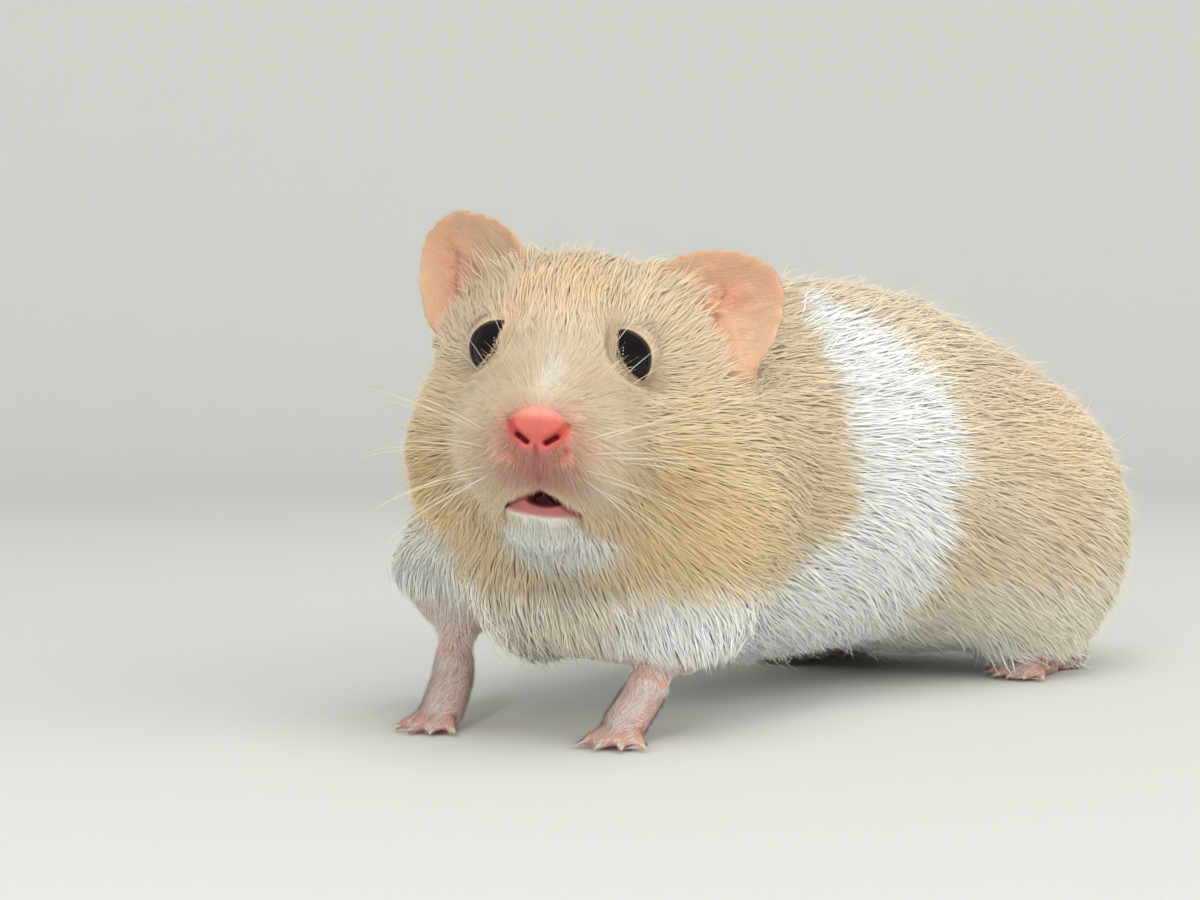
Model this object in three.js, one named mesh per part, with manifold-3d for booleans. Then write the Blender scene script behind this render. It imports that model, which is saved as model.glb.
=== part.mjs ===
// Syrian hamster, life size, standing on four feet with its head lifted and turned to its left.
// Millimetres. +Z is up, the body faces -Y and +X is the animal's left side. The solids reach the
// tips of the coat. The origin is at the bottom centre of the whole animal's box.
//
// The animal is one smooth field of ellipsoids and tapered limbs, blended into each other. Each
// named part is that field's surface, drawn at a fineness of its own and parted from its
// neighbours by thin flat cuts. Ears and eyes are solids of their own.

import * as THREE from "three";
import { mergeVertices } from "three/addons/utils/BufferGeometryUtils.js";
import Module from "manifold-3d";

const wasm = await Module();
wasm.setup();

// ---------- Driving dimensions ----------

const GAP = 0.3; // width of every cut between two parts
const FLOOR = 0; // level of the soles

// Head, in its own frame: x to the animal's left, the nose towards -y, z up.
const HEAD_CENTRE = [0.8, 0, 40];
const HEAD_YAW = 27; // degrees, turned to the animal's left
const HEAD_PITCH = 7; // degrees, nose up
const HEAD_ROLL = 4.5; // degrees, left side down
const NAPE_Y = 12; // head frame, where the head ends and the neck starts
const THROAT_Z = -16.5; // head frame, where the head ends and the chest starts

const EYE_CENTRE = [8.7, -8.1, 5.5];
const EYE_RADIUS = 3.2;

const EAR_LENGTH = 18; // along its axis, root to tip, with the buried foot of the ear
const EAR_BURIED = 5;
const EAR_WIDTH = 16.5;
const EAR_TAPER = 0.2; // how much narrower the ear is at its tip than in the middle
const EAR_DISH = 3.4; // how far the rim stands forward of the middle
const EAR_MIDDLE_THICKNESS = 1.5;
const EAR_RIM_THICKNESS = 0.9;
// The two ears are held differently. Degrees: splay is out from straight up, lean is back, and
// turn is that of the open side outwards.
const EARS = {
  left: { side: 1, root: [12.4, 4.4, 10.6], splay: 50, lean: 20, turn: 8 },
  right: { side: -1, root: [-11, 5, 12.6], splay: 38, lean: 14, turn: 20 },
};

// Cuts across the body: two along Y, and the level that parts neck from chest.
const SHOULDER_Y = 33;
const LOIN_Y = 63;
const CHEST_Z = 28;

// Fineness of each part's surface: the step of the grid that it is drawn on.
const TRUNK_STEP = 6;
const NECK_STEP = 4.4;
const HEAD_STEP = 2.7;
const JAW_STEP = 2;
const NOSE_STEP = 1.1;
const ARM_STEP = 3.2;
const THIGH_STEP = 4.6;

// ---------- Field pieces ----------

const vec = (a) => new THREE.Vector3(...a);
const radians = THREE.MathUtils.degToRad;

// An ellipsoid at centre, with radii along its own axes, turned by degrees about X, Y and Z.
function ellipsoid(centre, radii, turn = [0, 0, 0]) {
  const middle = vec(centre);
  const back = new THREE.Quaternion()
    .setFromEuler(new THREE.Euler(...turn.map(radians)))
    .invert();
  const [rx, ry, rz] = radii;
  const q = new THREE.Vector3();
  return (p) => {
    q.copy(p).sub(middle).applyQuaternion(back);
    const near = Math.hypot(q.x / rx, q.y / ry, q.z / rz);
    const slope = Math.hypot(q.x / rx ** 2, q.y / ry ** 2, q.z / rz ** 2);
    return slope > 1e-9 ? (near * (near - 1)) / slope : -Math.min(rx, ry, rz);
  };
}

// A limb from one point to another, with a radius at each end.
function limb(from, to, fromRadius, toRadius) {
  const a = vec(from);
  const along = vec(to).sub(a);
  const length2 = along.lengthSq();
  const q = new THREE.Vector3();
  return (p) => {
    q.copy(p).sub(a);
    const t = THREE.MathUtils.clamp(q.dot(along) / length2, 0, 1);
    q.addScaledVector(along, -t);
    return q.length() - (fromRadius + (toRadius - fromRadius) * t);
  };
}

// Joins fields, with a fillet about as wide as blend.
function join(blend, ...fields) {
  return (p) =>
    fields.map((f) => f(p)).reduce((a, b) => {
      const h = Math.max(blend - Math.abs(a - b), 0) / blend;
      return Math.min(a, b) - (h * h * blend) / 4;
    });
}

// Takes the second field out of the first, with a rounded edge.
function carve(blend, field, tool) {
  return (p) => {
    const a = field(p);
    const b = -tool(p);
    const h = Math.max(blend - Math.abs(a - b), 0) / blend;
    return Math.max(a, b) + (h * h * blend) / 4;
  };
}

// The same piece on both sides of x = 0, given for the left side.
function bothSides(field) {
  const q = new THREE.Vector3();
  return (p) => field(q.set(Math.abs(p.x), p.y, p.z));
}

// ---------- Head ----------

const headPlace = new THREE.Matrix4().compose(
  vec(HEAD_CENTRE),
  new THREE.Quaternion()
    .setFromAxisAngle(vec([0, 0, 1]), radians(HEAD_YAW))
    .multiply(new THREE.Quaternion().setFromAxisAngle(vec([1, 0, 0]), radians(-HEAD_PITCH)))
    .multiply(new THREE.Quaternion().setFromAxisAngle(vec([0, 1, 0]), radians(HEAD_ROLL))),
  vec([1, 1, 1]),
);
const headInverse = headPlace.clone().invert();

const cranium = ellipsoid([0, 5.5, 5.8], [17.2, 14.6, 13.2]);
const cheeks = bothSides(ellipsoid([9.6, 4.5, -5.8], [10.8, 12.6, 12], [0, 0, 12]));
const muzzle = ellipsoid([0, -8.5, -5.4], [10.6, 10, 8.2]);
const browsAndBridge = limb([0, -2, 5], [0, -15.8, -3.4], 9, 4.4);
const whiskerPads = bothSides(ellipsoid([4.2, -14, -6.8], [5.2, 5.6, 4.6], [0, 0, 14]));
const eyeMounds = bothSides(ellipsoid([7, -5.4, 4.6], [4.4, 4.8, 4.6]));
const nosePad = ellipsoid([0, -19.4, -4.2], [3.3, 2.3, 2.7]);
const lowerJaw = limb([0, 2, -11], [0, -11.4, -12.8], 8, 4.6);
const mouth = ellipsoid([0, -17.4, -11], [4.8, 4.4, 1.0], [10, 0, 0]);

const skull = join(5, cranium, cheeks, muzzle, browsAndBridge, eyeMounds);
const face = join(4.5, skull, join(2, whiskerPads, lowerJaw));
const headLocal = carve(1.2, join(1.6, face, nosePad), mouth);

function headField() {
  const q = new THREE.Vector3();
  return (p) => headLocal(q.copy(p).applyMatrix4(headInverse));
}

// ---------- Trunk and limbs ----------

// The body tapers from a broad rump to the shoulders, and its back is highest over the loin.
const body = join(
  14,
  ellipsoid([6, 88.5, 25], [26.8, 26.8, 22.6]),
  ellipsoid([0.5, 64, 31.4], [25.6, 29, 26.6], [0, 0, -12]),
  ellipsoid([-3.5, 38, 31], [23.5, 25, 26]),
  ellipsoid([-3, 18, 32], [20, 18, 20]),
);
const breast = ellipsoid([-5, 8, 19.5], [13, 12, 11.5]);
const thighs = [
  ellipsoid([22.4, 85.5, 17], [10, 16, 14.4], [-12, 0, -14]),
  ellipsoid([-11, 78, 17], [10, 16, 14.4], [-12, 0, -14]),
];

// A foreleg's fur sleeve, from the shoulder past the elbow to the cuff above the wrist.
function sleeve({ shoulder, elbow, wrist }) {
  const cuff = vec(elbow).lerp(vec(wrist), 0.32).toArray();
  return join(4, limb(shoulder, elbow, 10, 7.4), limb(elbow, cuff, 7.4, 4.4));
}

const leftFore = {
  shoulder: [9, 13, 27],
  elbow: [9.2, 11.4, 15.6],
  wrist: [8, 5, 5.6],
  ball: [7.6, 1.2, 2],
  heading: 20,
};
const rightFore = {
  shoulder: [-16.5, 8, 28],
  elbow: [-23, 7.6, 19.6],
  wrist: [-18.4, 1, 5.6],
  ball: [-17, -3, 2],
  heading: 14,
};
const leftHind = { heel: [24, 96.5, 2.3], ball: [23, 83.5, 2], heading: -4 };
const rightHind = { heel: [-9.6, 90, 2.3], ball: [-14, 77.8, 2], heading: -20 };

const animal = join(
  7,
  join(11, body, headField()),
  join(6, breast, sleeve(leftFore), sleeve(rightFore)),
  ...thighs,
);

// ---------- Paws ----------

const FORE_TOES = { spread: [-44, -15, 14, 42], length: 5, radius: 1 };
const HIND_TOES = { spread: [-42, -20, 0, 20, 42], length: 6, radius: 1.1 };
const CLAW_LENGTH = 1.6;
const CLAW_TIP_RADIUS = 0.3;
const TOE_SIDES = 5;
const PAW_SIDES = 8;

// A closed tube through points, with a radius at each and flat ends.
function tube(points, radii, sides) {
  const at = points.map(vec);
  const ring = at.flatMap((point, i) => {
    const way = vec([0, 0, 0])
      .subVectors(at[Math.min(i + 1, at.length - 1)], at[Math.max(i - 1, 0)])
      .normalize();
    const across = vec([0, 0, 0]).crossVectors(way, vec([0, 0, 1])).normalize();
    const up = vec([0, 0, 0]).crossVectors(across, way);
    return [...Array(sides).keys()].map((n) => {
      const turn = (2 * Math.PI * (n + 0.5)) / sides;
      return point
        .clone()
        .addScaledVector(across, Math.cos(turn) * radii[i])
        .addScaledVector(up, Math.sin(turn) * radii[i]);
    });
  });
  const faces = [];
  const last = (at.length - 1) * sides;
  for (let n = 0; n < sides; n++) {
    const m = (n + 1) % sides;
    for (let i = 0; i < last; i += sides)
      faces.push(i + n, i + m + sides, i + m, i + n, i + n + sides, i + m + sides);
    if (n > 1) faces.push(0, n - 1, n, last, last + n, last + n - 1);
  }
  return solid(new THREE.BufferGeometry().setFromPoints(ring).setIndex(faces));
}

// Toes fan out from the ball of the foot, bend at the knuckle and end in a claw.
function toes({ ball: [x, y], heading }, { spread, length, radius }, grown) {
  return spread.map((turn) => {
    const way = radians(heading + turn);
    const at = (reach, z) => [x + Math.sin(way) * reach, y - Math.cos(way) * reach, z];
    const knuckle = at(length * 0.55, 1.7);
    const points = [at(0.4, 1.7), knuckle, at(length * 0.85, 1.1), at(length, 0.8)];
    const radii = [radius, radius * 1.1, radius * 1.05, radius * 0.7, CLAW_TIP_RADIUS];
    const claw = at(length + CLAW_LENGTH + grown, 0.45);
    return tube([...points, claw], radii.map((r) => r + grown), TOE_SIDES);
  });
}

// The bare forearm and palm, from inside the sleeve to the toes. grown widens it all round.
function forearm({ elbow, wrist, ball, heading }, grown = 0) {
  const way = radians(heading);
  const top = vec(elbow).lerp(vec(wrist), 0.42).toArray();
  const palm = [ball[0] + Math.sin(way) * 2, ball[1] - Math.cos(way) * 2, 1.6];
  const radii = [3, 2.7, 2.8, 1.9].map((radius) => radius + grown);
  return tube([top, wrist, ball, palm], radii, PAW_SIDES);
}

// The long hind sole, from behind the heel to the toes.
function sole({ heel, ball, heading }, grown = 0) {
  const way = radians(heading);
  const ahead = (from, reach, z) => [
    from[0] + Math.sin(way) * reach,
    from[1] - Math.cos(way) * reach,
    z,
  ];
  const points = [ahead(heel, -1.8, 2.6), heel, ball, ahead(ball, 2.4, 1.6)];
  const radii = [1.6, 2.7, 2.5, 1.8].map((radius) => radius + grown);
  return tube(points, radii, PAW_SIDES);
}

// The short tail, from inside the rump to its tip.
function tail(grown = 0) {
  const points = [[11, 109, 16], [12, 114, 13.4], [12.8, 117.5, 11], [13.3, 119.6, 9.4]];
  const radii = [2.6, 2.2, 1.7, 0.9].map((radius) => radius + grown);
  return tube(points, radii, PAW_SIDES);
}

// A foot with its toes, cut flat where it stands.
function withToes(foot, place, kind) {
  const joined = toes(place, kind, 0).reduce((a, b) => a.add(b), foot);
  return largest(joined.intersect(block(...EVERYWHERE)));
}

// The room that a hind foot takes in the body above it.
function hindRoom(place) {
  return [sole(place, GAP), ...toes(place, HIND_TOES, GAP)];
}

// ---------- Surfaces from the field ----------

// The closed surface where field is zero, inside the box from low to high, on a grid of cubes.
// Each cube that the surface crosses gets one point, which is then moved onto the surface.
function surface(field, low, high, step) {
  const count = [0, 1, 2].map((i) => Math.ceil((high[i] - low[i]) / step) + 1);
  const [nx, ny, nz] = count;
  const node = (i, j, k) => i + nx * (j + ny * k);
  const value = new Float64Array(nx * ny * nz);
  const p = new THREE.Vector3();
  for (let k = 0; k < nz; k++)
    for (let j = 0; j < ny; j++)
      for (let i = 0; i < nx; i++) {
        const edge = i === 0 || j === 0 || k === 0 || i === nx - 1 || j === ny - 1 || k === nz - 1;
        p.set(low[0] + i * step, low[1] + j * step, low[2] + k * step);
        value[node(i, j, k)] = edge ? step : field(p);
      }

  const pointOf = new Int32Array(nx * ny * nz).fill(-1);
  const points = [];
  const corner = [0, 1, 2, 3, 4, 5, 6, 7].map((c) => [c & 1, (c >> 1) & 1, (c >> 2) & 1]);
  const edges = corner.flatMap((a, m) =>
    [0, 1, 2].filter((axis) => a[axis] === 0).map((axis) => [m, m | (1 << axis)]),
  );
  for (let k = 0; k < nz - 1; k++)
    for (let j = 0; j < ny - 1; j++)
      for (let i = 0; i < nx - 1; i++) {
        const at = corner.map(([a, b, c]) => value[node(i + a, j + b, k + c)]);
        const middle = new THREE.Vector3();
        let crossings = 0;
        for (const [m, n] of edges)
          if (at[m] < 0 !== at[n] < 0) {
            const t = at[m] / (at[m] - at[n]);
            middle.add(
              new THREE.Vector3(...corner[m]).lerp(new THREE.Vector3(...corner[n]), t),
            );
            crossings++;
          }
        if (!crossings) continue;
        middle.divideScalar(crossings).add(p.set(i, j, k)).multiplyScalar(step).add(vec(low));
        const inner = i > 0 && j > 0 && k > 0 && i < nx - 2 && j < ny - 2 && k < nz - 2;
        if (inner) pullOnto(field, middle, step);
        pointOf[node(i, j, k)] = points.length / 3;
        points.push(middle.x, middle.y, middle.z);
      }

  const faces = [];
  for (let k = 0; k < nz - 1; k++)
    for (let j = 0; j < ny - 1; j++)
      for (let i = 0; i < nx - 1; i++) {
        const inside = value[node(i, j, k)] < 0;
        for (let axis = 0; axis < 3; axis++) {
          const next = [i, j, k];
          next[axis]++;
          if (inside === value[node(...next)] < 0) continue;
          const [u, v] = [(axis + 1) % 3, (axis + 2) % 3];
          const ring = [[0, 0], [1, 0], [1, 1], [0, 1]].map(([a, b]) => {
            const cell = [i, j, k];
            cell[u] -= a;
            cell[v] -= b;
            return pointOf[node(...cell)];
          });
          if (!inside) ring.reverse();
          faces.push(ring[0], ring[1], ring[2], ring[0], ring[2], ring[3]);
        }
      }
  return new THREE.BufferGeometry()
    .setAttribute("position", new THREE.BufferAttribute(new Float32Array(points), 3))
    .setIndex(faces);
}

// Moves a point onto the field's surface by a few steps down the slope, under half a cube in all.
function pullOnto(field, point, step) {
  const start = point.clone();
  const reach = 0.05;
  const slope = new THREE.Vector3();
  const probe = new THREE.Vector3();
  const rise = (x, y, z) =>
    field(probe.set(point.x + x, point.y + y, point.z + z)) -
    field(probe.set(point.x - x, point.y - y, point.z - z));
  for (let n = 0; n < 3; n++) {
    slope.set(rise(reach, 0, 0), rise(0, reach, 0), rise(0, 0, reach)).divideScalar(2 * reach);
    const steep = slope.lengthSq();
    if (steep < 1e-6) return;
    point.addScaledVector(slope, -field(point) / steep);
  }
  if (point.distanceTo(start) > step / 2) point.lerpVectors(start, point, step / 2 / point.distanceTo(start));
}

// ---------- Solids ----------

function solid(geometry) {
  const bare = geometry.clone();
  bare.deleteAttribute("normal");
  bare.deleteAttribute("uv");
  const merged = mergeVertices(bare, 1e-4);
  return new wasm.Manifold(
    new wasm.Mesh({
      numProp: 3,
      vertProperties: new Float32Array(merged.attributes.position.array),
      triVerts: new Uint32Array(merged.index.array),
    }),
  );
}

function geometryOf(made) {
  const mesh = made.getMesh();
  const at = new Float32Array(mesh.numVert * 3);
  for (let i = 0; i < mesh.numVert; i++)
    at.set(mesh.vertProperties.subarray(i * mesh.numProp, i * mesh.numProp + 3), i * 3);
  const geometry = new THREE.BufferGeometry()
    .setAttribute("position", new THREE.BufferAttribute(at, 3))
    .setIndex(new THREE.BufferAttribute(new Uint32Array(mesh.triVerts), 1));
  geometry.computeVertexNormals();
  return geometry;
}

// The largest of a solid's separate bodies, so that a cut leaves no crumbs.
function largest(made) {
  return made.decompose().reduce((a, b) => (a.volume() > b.volume() ? a : b));
}

// A box from low to high, as a cutter. place moves it from a frame of its own.
function block(low, high, place = new THREE.Matrix4(), grown = 0) {
  const size = [0, 1, 2].map((i) => high[i] - low[i] + 2 * grown);
  const middle = [0, 1, 2].map((i) => (high[i] + low[i]) / 2);
  const box = new THREE.BoxGeometry(...size).translate(...middle).applyMatrix4(place);
  return solid(box);
}

const FAR = 300;
const EVERYWHERE = [[-FAR, -FAR, FLOOR], [FAR, FAR, FAR]];

// Regions that part the animal. Each is a box in a frame of its own.
const regions = {
  head: { low: [-FAR, -FAR, THROAT_Z], high: [FAR, NAPE_Y, FAR], place: headPlace },
  jaw: { low: [-7.5, -FAR, -20.5], high: [7.5, -3, -10.8], place: headPlace },
  nose: { low: [-4.2, -FAR, -8], high: [4.2, -17.2, -0.4], place: headPlace },
  leftArm: armRegion(leftFore),
  rightArm: armRegion(rightFore),
  leftThigh: thighRegion(1, [22, 87, 16]),
  rightThigh: thighRegion(-1, [-10.5, 79, 16]),
};

// An arm's frame: origin in the middle of the cut above the elbow, z up the arm.
function armRegion({ elbow, wrist }) {
  const up = vec(elbow).sub(vec(wrist)).normalize();
  const turn = new THREE.Quaternion().setFromUnitVectors(vec([0, 0, 1]), up);
  const place = new THREE.Matrix4().compose(vec(elbow), turn, vec([1, 1, 1]));
  return { low: [-10, -12, -24], high: [10, 9, 2.5], place };
}

function thighRegion(side, at) {
  const about = (axis, degrees) => new THREE.Quaternion().setFromAxisAngle(vec(axis), radians(degrees));
  const turn = about([0, 0, 1], -14).multiply(about([0, 1, 0], -14 * side));
  const place = new THREE.Matrix4().compose(vec(at), turn, vec([1, 1, 1]));
  const [low, high] = side > 0 ? [[0, -FAR, -FAR], [40, FAR, 18]] : [[-40, -FAR, -FAR], [0, FAR, 18]];
  return { low, high, place };
}

function cutter({ low, high, place }, grown = 0) {
  return block(low, high, place, grown);
}

// The animal's own surface, kept inside some regions and outside others, less some solids.
function flesh(low, high, step, { within = [], without = [], solids = [] }) {
  let made = solid(surface(animal, low, high, step)).intersect(block(...EVERYWHERE));
  for (const region of within) made = made.intersect(cutter(region));
  for (const region of without) made = made.subtract(cutter(region, GAP));
  for (const tool of solids) made = made.subtract(tool);
  return largest(made);
}

// ---------- Ears and eyes, in the head's frame ----------

// A thin dish, its open side facing -y in its own frame, its axis up z.
function earGeometry() {
  const rings = [0.4, 0.72, 0.93, 1];
  const sectors = 16;
  const points = [];
  const faces = [];
  const place = (share, angle, side) => {
    const taper = 1 - EAR_TAPER * Math.sin(angle) * share;
    const u = (EAR_WIDTH / 2) * share * Math.cos(angle) * taper;
    const v = (EAR_LENGTH / 2) * share * Math.sin(angle);
    const rim = share ** 2;
    const w = EAR_DISH * rim;
    const half = (EAR_MIDDLE_THICKNESS * (1 - rim) + EAR_RIM_THICKNESS * rim) / 2;
    points.push(u, -w - side * half, v + EAR_LENGTH / 2 - EAR_BURIED);
  };
  for (const side of [1, -1]) {
    const first = points.length / 3;
    place(0, 0, side);
    for (const share of rings)
      for (let s = 0; s < sectors; s++) place(share, (2 * Math.PI * s) / sectors, side);
    for (let s = 0; s < sectors; s++) {
      const t = (s + 1) % sectors;
      const fan = [first, first + 1 + s, first + 1 + t];
      faces.push(...(side > 0 ? fan : fan.reverse()));
      for (let r = 0; r < rings.length - 1; r++) {
        const a = first + 1 + r * sectors;
        const b = a + sectors;
        const quad = [a + s, b + t, a + t, a + s, b + s, b + t];
        faces.push(...(side > 0 ? quad : quad.reverse()));
      }
    }
  }
  const half = points.length / 6;
  const front = 1 + (rings.length - 1) * sectors;
  for (let s = 0; s < sectors; s++) {
    const t = (s + 1) % sectors;
    const [a, b] = [half + front + s, half + front + t];
    faces.push(front + s, b, front + t, front + s, a, b);
  }
  return new THREE.BufferGeometry()
    .setAttribute("position", new THREE.BufferAttribute(new Float32Array(points), 3))
    .setIndex(faces);
}

function earPlace({ side, root, splay, lean, turn }) {
  const about = (axis, degrees) => new THREE.Quaternion().setFromAxisAngle(vec(axis), radians(degrees));
  const held = about([0, 1, 0], splay * side)
    .multiply(about([1, 0, 0], -lean))
    .multiply(about([0, 0, 1], turn * side));
  return new THREE.Matrix4().compose(vec(root), held, vec([1, 1, 1]));
}

function eyeGeometry(side, grown = 0) {
  const [x, y, z] = EYE_CENTRE;
  return new THREE.SphereGeometry(EYE_RADIUS + grown, 12, 8).translate(x * side, y, z);
}

// ---------- The named parts ----------

const coatCream = { color: 0xd9c9a6, roughness: 0.9 };
const coatWhite = { color: 0xebe8de, roughness: 0.9 };
const bareSkin = { color: 0xdc9a8c, roughness: 0.6 };
const earSkin = { color: 0xd9a987, roughness: 0.7 };
const eyeBlack = { color: 0x0c0908, roughness: 0.08 };

const root = new THREE.Group();
const headGroup = new THREE.Group();
headGroup.applyMatrix4(headPlace);
root.add(headGroup);

function add(name, made, look, group = root) {
  const material = new THREE.MeshStandardMaterial({ ...look, metalness: 0 });
  const mesh = new THREE.Mesh(geometryOf(made), material);
  mesh.name = name;
  group.add(mesh);
}

// Head parts are drawn on a grid that follows the head, then cut in the head's own frame.
function headPart(low, high, step, { within, without = [], solids = [] }) {
  const q = new THREE.Vector3();
  const field = (p) => animal(q.copy(p).applyMatrix4(headPlace));
  let made = solid(surface(field, low, high, step)).intersect(block(within.low, within.high));
  for (const region of without) made = made.subtract(block(region.low, region.high, undefined, GAP));
  for (const tool of solids) made = made.subtract(tool);
  return largest(made);
}

const { head, jaw, nose } = regions;
const eyeTools = [1, -1].map((side) => solid(eyeGeometry(side, GAP)));
const headSolid = headPart([-34, -26, -22], [34, 17, 24], HEAD_STEP, {
  within: { low: head.low, high: [FAR, NAPE_Y - GAP, FAR] },
  without: [jaw, nose],
  solids: eyeTools,
});
const noseSolid = headPart([-7, -26, -11], [7, -14, 3], NOSE_STEP, { within: nose });
const jawSolid = headPart([-11, -24, -23], [11, 0, -7], JAW_STEP, { within: jaw, without: [nose] });
add("head", headSolid, coatCream, headGroup);
add("nose", noseSolid, bareSkin, headGroup);
add("jaw", jawSolid, coatWhite, headGroup);

const inHead = new THREE.Vector3();
const aroundHead = (p) => animal(inHead.copy(p).applyMatrix4(headPlace)) - GAP;
const headGrown = solid(surface(aroundHead, [-28, -20, -10], [28, 22, 26], HEAD_STEP));
for (const [name, ear] of Object.entries(EARS)) {
  const dish = solid(earGeometry().applyMatrix4(earPlace(ear))).subtract(headGrown);
  add("ear_" + name, largest(dish), earSkin, headGroup);
  add("eye_" + name, solid(eyeGeometry(ear.side)), eyeBlack, headGroup);
}

const FRONT = { low: [-FAR, -FAR, -FAR], high: [FAR, SHOULDER_Y, FAR] };
const frontCuts = [head, jaw, regions.leftArm, regions.rightArm];
const neckSolid = flesh([-34, -14, CHEST_Z - 8], [32, SHOULDER_Y + 6, 66], NECK_STEP, {
  within: [FRONT, { low: [-FAR, -FAR, CHEST_Z], high: [FAR, FAR, FAR] }],
  without: frontCuts,
});
const chestSolid = flesh([-36, -14, -2], [32, SHOULDER_Y + 6, CHEST_Z + 8], NECK_STEP, {
  within: [FRONT, { low: [-FAR, -FAR, -FAR], high: [FAR, FAR, CHEST_Z - GAP] }],
  without: frontCuts,
});
const trunkSolid = flesh([-38, SHOULDER_Y - 6, -4], [40, LOIN_Y + 6, 68], TRUNK_STEP, {
  within: [{ low: [-FAR, SHOULDER_Y + GAP, -FAR], high: [FAR, LOIN_Y, FAR] }],
});
const BACK = { low: [-FAR, LOIN_Y + GAP, -FAR], high: [FAR, FAR, FAR] };
const rumpSolid = flesh([-40, LOIN_Y - 6, -4], [46, 128, 66], TRUNK_STEP, {
  within: [BACK],
  without: [regions.leftThigh, regions.rightThigh],
  solids: [...hindRoom(leftHind), ...hindRoom(rightHind), tail(GAP)],
});
add("neck", neckSolid, coatCream);
add("chest", chestSolid, coatWhite);
add("trunk", trunkSolid, coatWhite);
add("rump", rumpSolid, coatCream);
add("tail", tail(), bareSkin);

const legs = [
  { name: "left", side: 1, fore: leftFore, hind: leftHind },
  { name: "right", side: -1, fore: rightFore, hind: rightHind },
];
for (const { name, side, fore, hind } of legs) {
  const x = side > 0 ? [-4, 30] : [-38, 0];
  const arm = flesh([x[0], -14, -2], [x[1], 32, 30], ARM_STEP, {
    within: [regions[name + "Arm"]],
    without: [head, jaw],
    solids: [forearm(fore, GAP)],
  });
  const thigh = flesh([x[0], LOIN_Y - 4, -4], [x[1] + 14, 126, 50], THIGH_STEP, {
    within: [regions[name + "Thigh"], BACK],
    solids: hindRoom(hind),
  });
  add("foreleg_" + name, arm, coatWhite);
  add("forepaw_" + name, withToes(forearm(fore), fore, FORE_TOES), bareSkin);
  add("hindleg_" + name, thigh, coatCream);
  add("hindfoot_" + name, withToes(sole(hind), hind, HIND_TOES), bareSkin);
}

// The origin goes to the bottom centre of the whole animal's box.
const box = new THREE.Box3().setFromObject(root, true);
root.position.set(-(box.min.x + box.max.x) / 2, -(box.min.y + box.max.y) / 2, 0);
root.updateMatrixWorld(true);

export default root;
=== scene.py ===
# Syrian hamster, life size: one skin under a coat of tufts, with eyes, claws and whiskers.
# Lengths inside the functions are millimetres, and they become metres where a mesh is written.

import math

import bpy
import numpy as np
from mathutils import Matrix, Vector
from mathutils.bvhtree import BVHTree
from mathutils.kdtree import KDTree


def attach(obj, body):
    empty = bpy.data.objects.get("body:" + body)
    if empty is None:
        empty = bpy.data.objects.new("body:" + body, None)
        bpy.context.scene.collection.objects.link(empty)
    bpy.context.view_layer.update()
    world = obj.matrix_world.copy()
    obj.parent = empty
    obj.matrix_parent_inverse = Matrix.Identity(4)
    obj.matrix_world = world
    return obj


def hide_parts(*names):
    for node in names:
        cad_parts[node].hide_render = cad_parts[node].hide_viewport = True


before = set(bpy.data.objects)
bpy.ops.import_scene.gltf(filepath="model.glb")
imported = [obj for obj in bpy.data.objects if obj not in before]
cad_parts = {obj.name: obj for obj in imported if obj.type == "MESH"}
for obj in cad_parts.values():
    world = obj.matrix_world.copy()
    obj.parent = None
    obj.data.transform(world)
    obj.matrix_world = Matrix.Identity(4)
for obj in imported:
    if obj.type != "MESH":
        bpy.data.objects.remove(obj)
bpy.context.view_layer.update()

MM = 0.001

# ---------- Places ----------

# The head's own frame: x to the animal's left, the nose towards -y, z up.
HEAD_CENTRE = np.array([-0.6, -49.48, 40.0])
HEAD_TURN = np.array(
    Matrix.Rotation(math.radians(27), 3, "Z")
    @ Matrix.Rotation(math.radians(-7), 3, "X")
    @ Matrix.Rotation(math.radians(4.5), 3, "Y")
)
EYES = {
    "left": np.array([7.6, -8.5, 5.5]),
    "right": np.array([-7.6, -8.5, 5.5]),
}
EYE_RADIUS = 3.2


def in_head(points):
    return (points - HEAD_CENTRE) @ HEAD_TURN


def from_head(points):
    return points @ HEAD_TURN.T + HEAD_CENTRE


def smooth(x, low, high):
    """0 below low, 1 above high, and a soft step between. low may be the larger."""
    t = np.clip((x - low) / (high - low), 0, 1)
    return t * t * (3 - 2 * t)


def bump(points, centre, radii):
    """1 at the centre of an ellipsoid, falling softly to nothing about 1.6 radii out."""
    q = (points - np.array(centre)) / np.array(radii)
    return np.exp(-(q * q).sum(1))


def unit(vectors):
    return vectors / np.maximum(np.linalg.norm(vectors, axis=1, keepdims=True), 1e-9)


# ---------- Mesh helpers ----------


def deselect():
    bpy.ops.object.select_all(action="DESELECT")


def choose(obj):
    """Makes one object the selected and the active one."""
    deselect()
    obj.select_set(True)
    bpy.context.view_layer.objects.active = obj


def edit_chosen(obj, kind, elements, chosen):
    """Opens one object in edit mode with only the chosen points or faces selected."""
    choose(obj)
    bpy.ops.object.mode_set(mode="EDIT")
    bpy.ops.mesh.select_mode(type=kind)
    bpy.ops.mesh.select_all(action="DESELECT")
    bpy.ops.object.mode_set(mode="OBJECT")
    getattr(obj.data, elements).foreach_set("select", chosen)
    bpy.ops.object.mode_set(mode="EDIT")


def points_of(obj):
    flat = np.empty(len(obj.data.vertices) * 3, np.float32)
    obj.data.vertices.foreach_get("co", flat)
    return flat.reshape(-1, 3).astype(float) * 1000


def set_points(obj, points):
    obj.data.vertices.foreach_set("co", (points * MM).astype(np.float32).ravel())
    obj.data.update()


def edges_of(obj):
    flat = np.empty(len(obj.data.edges) * 2, np.int32)
    obj.data.edges.foreach_get("vertices", flat)
    return flat.reshape(-1, 2)


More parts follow.
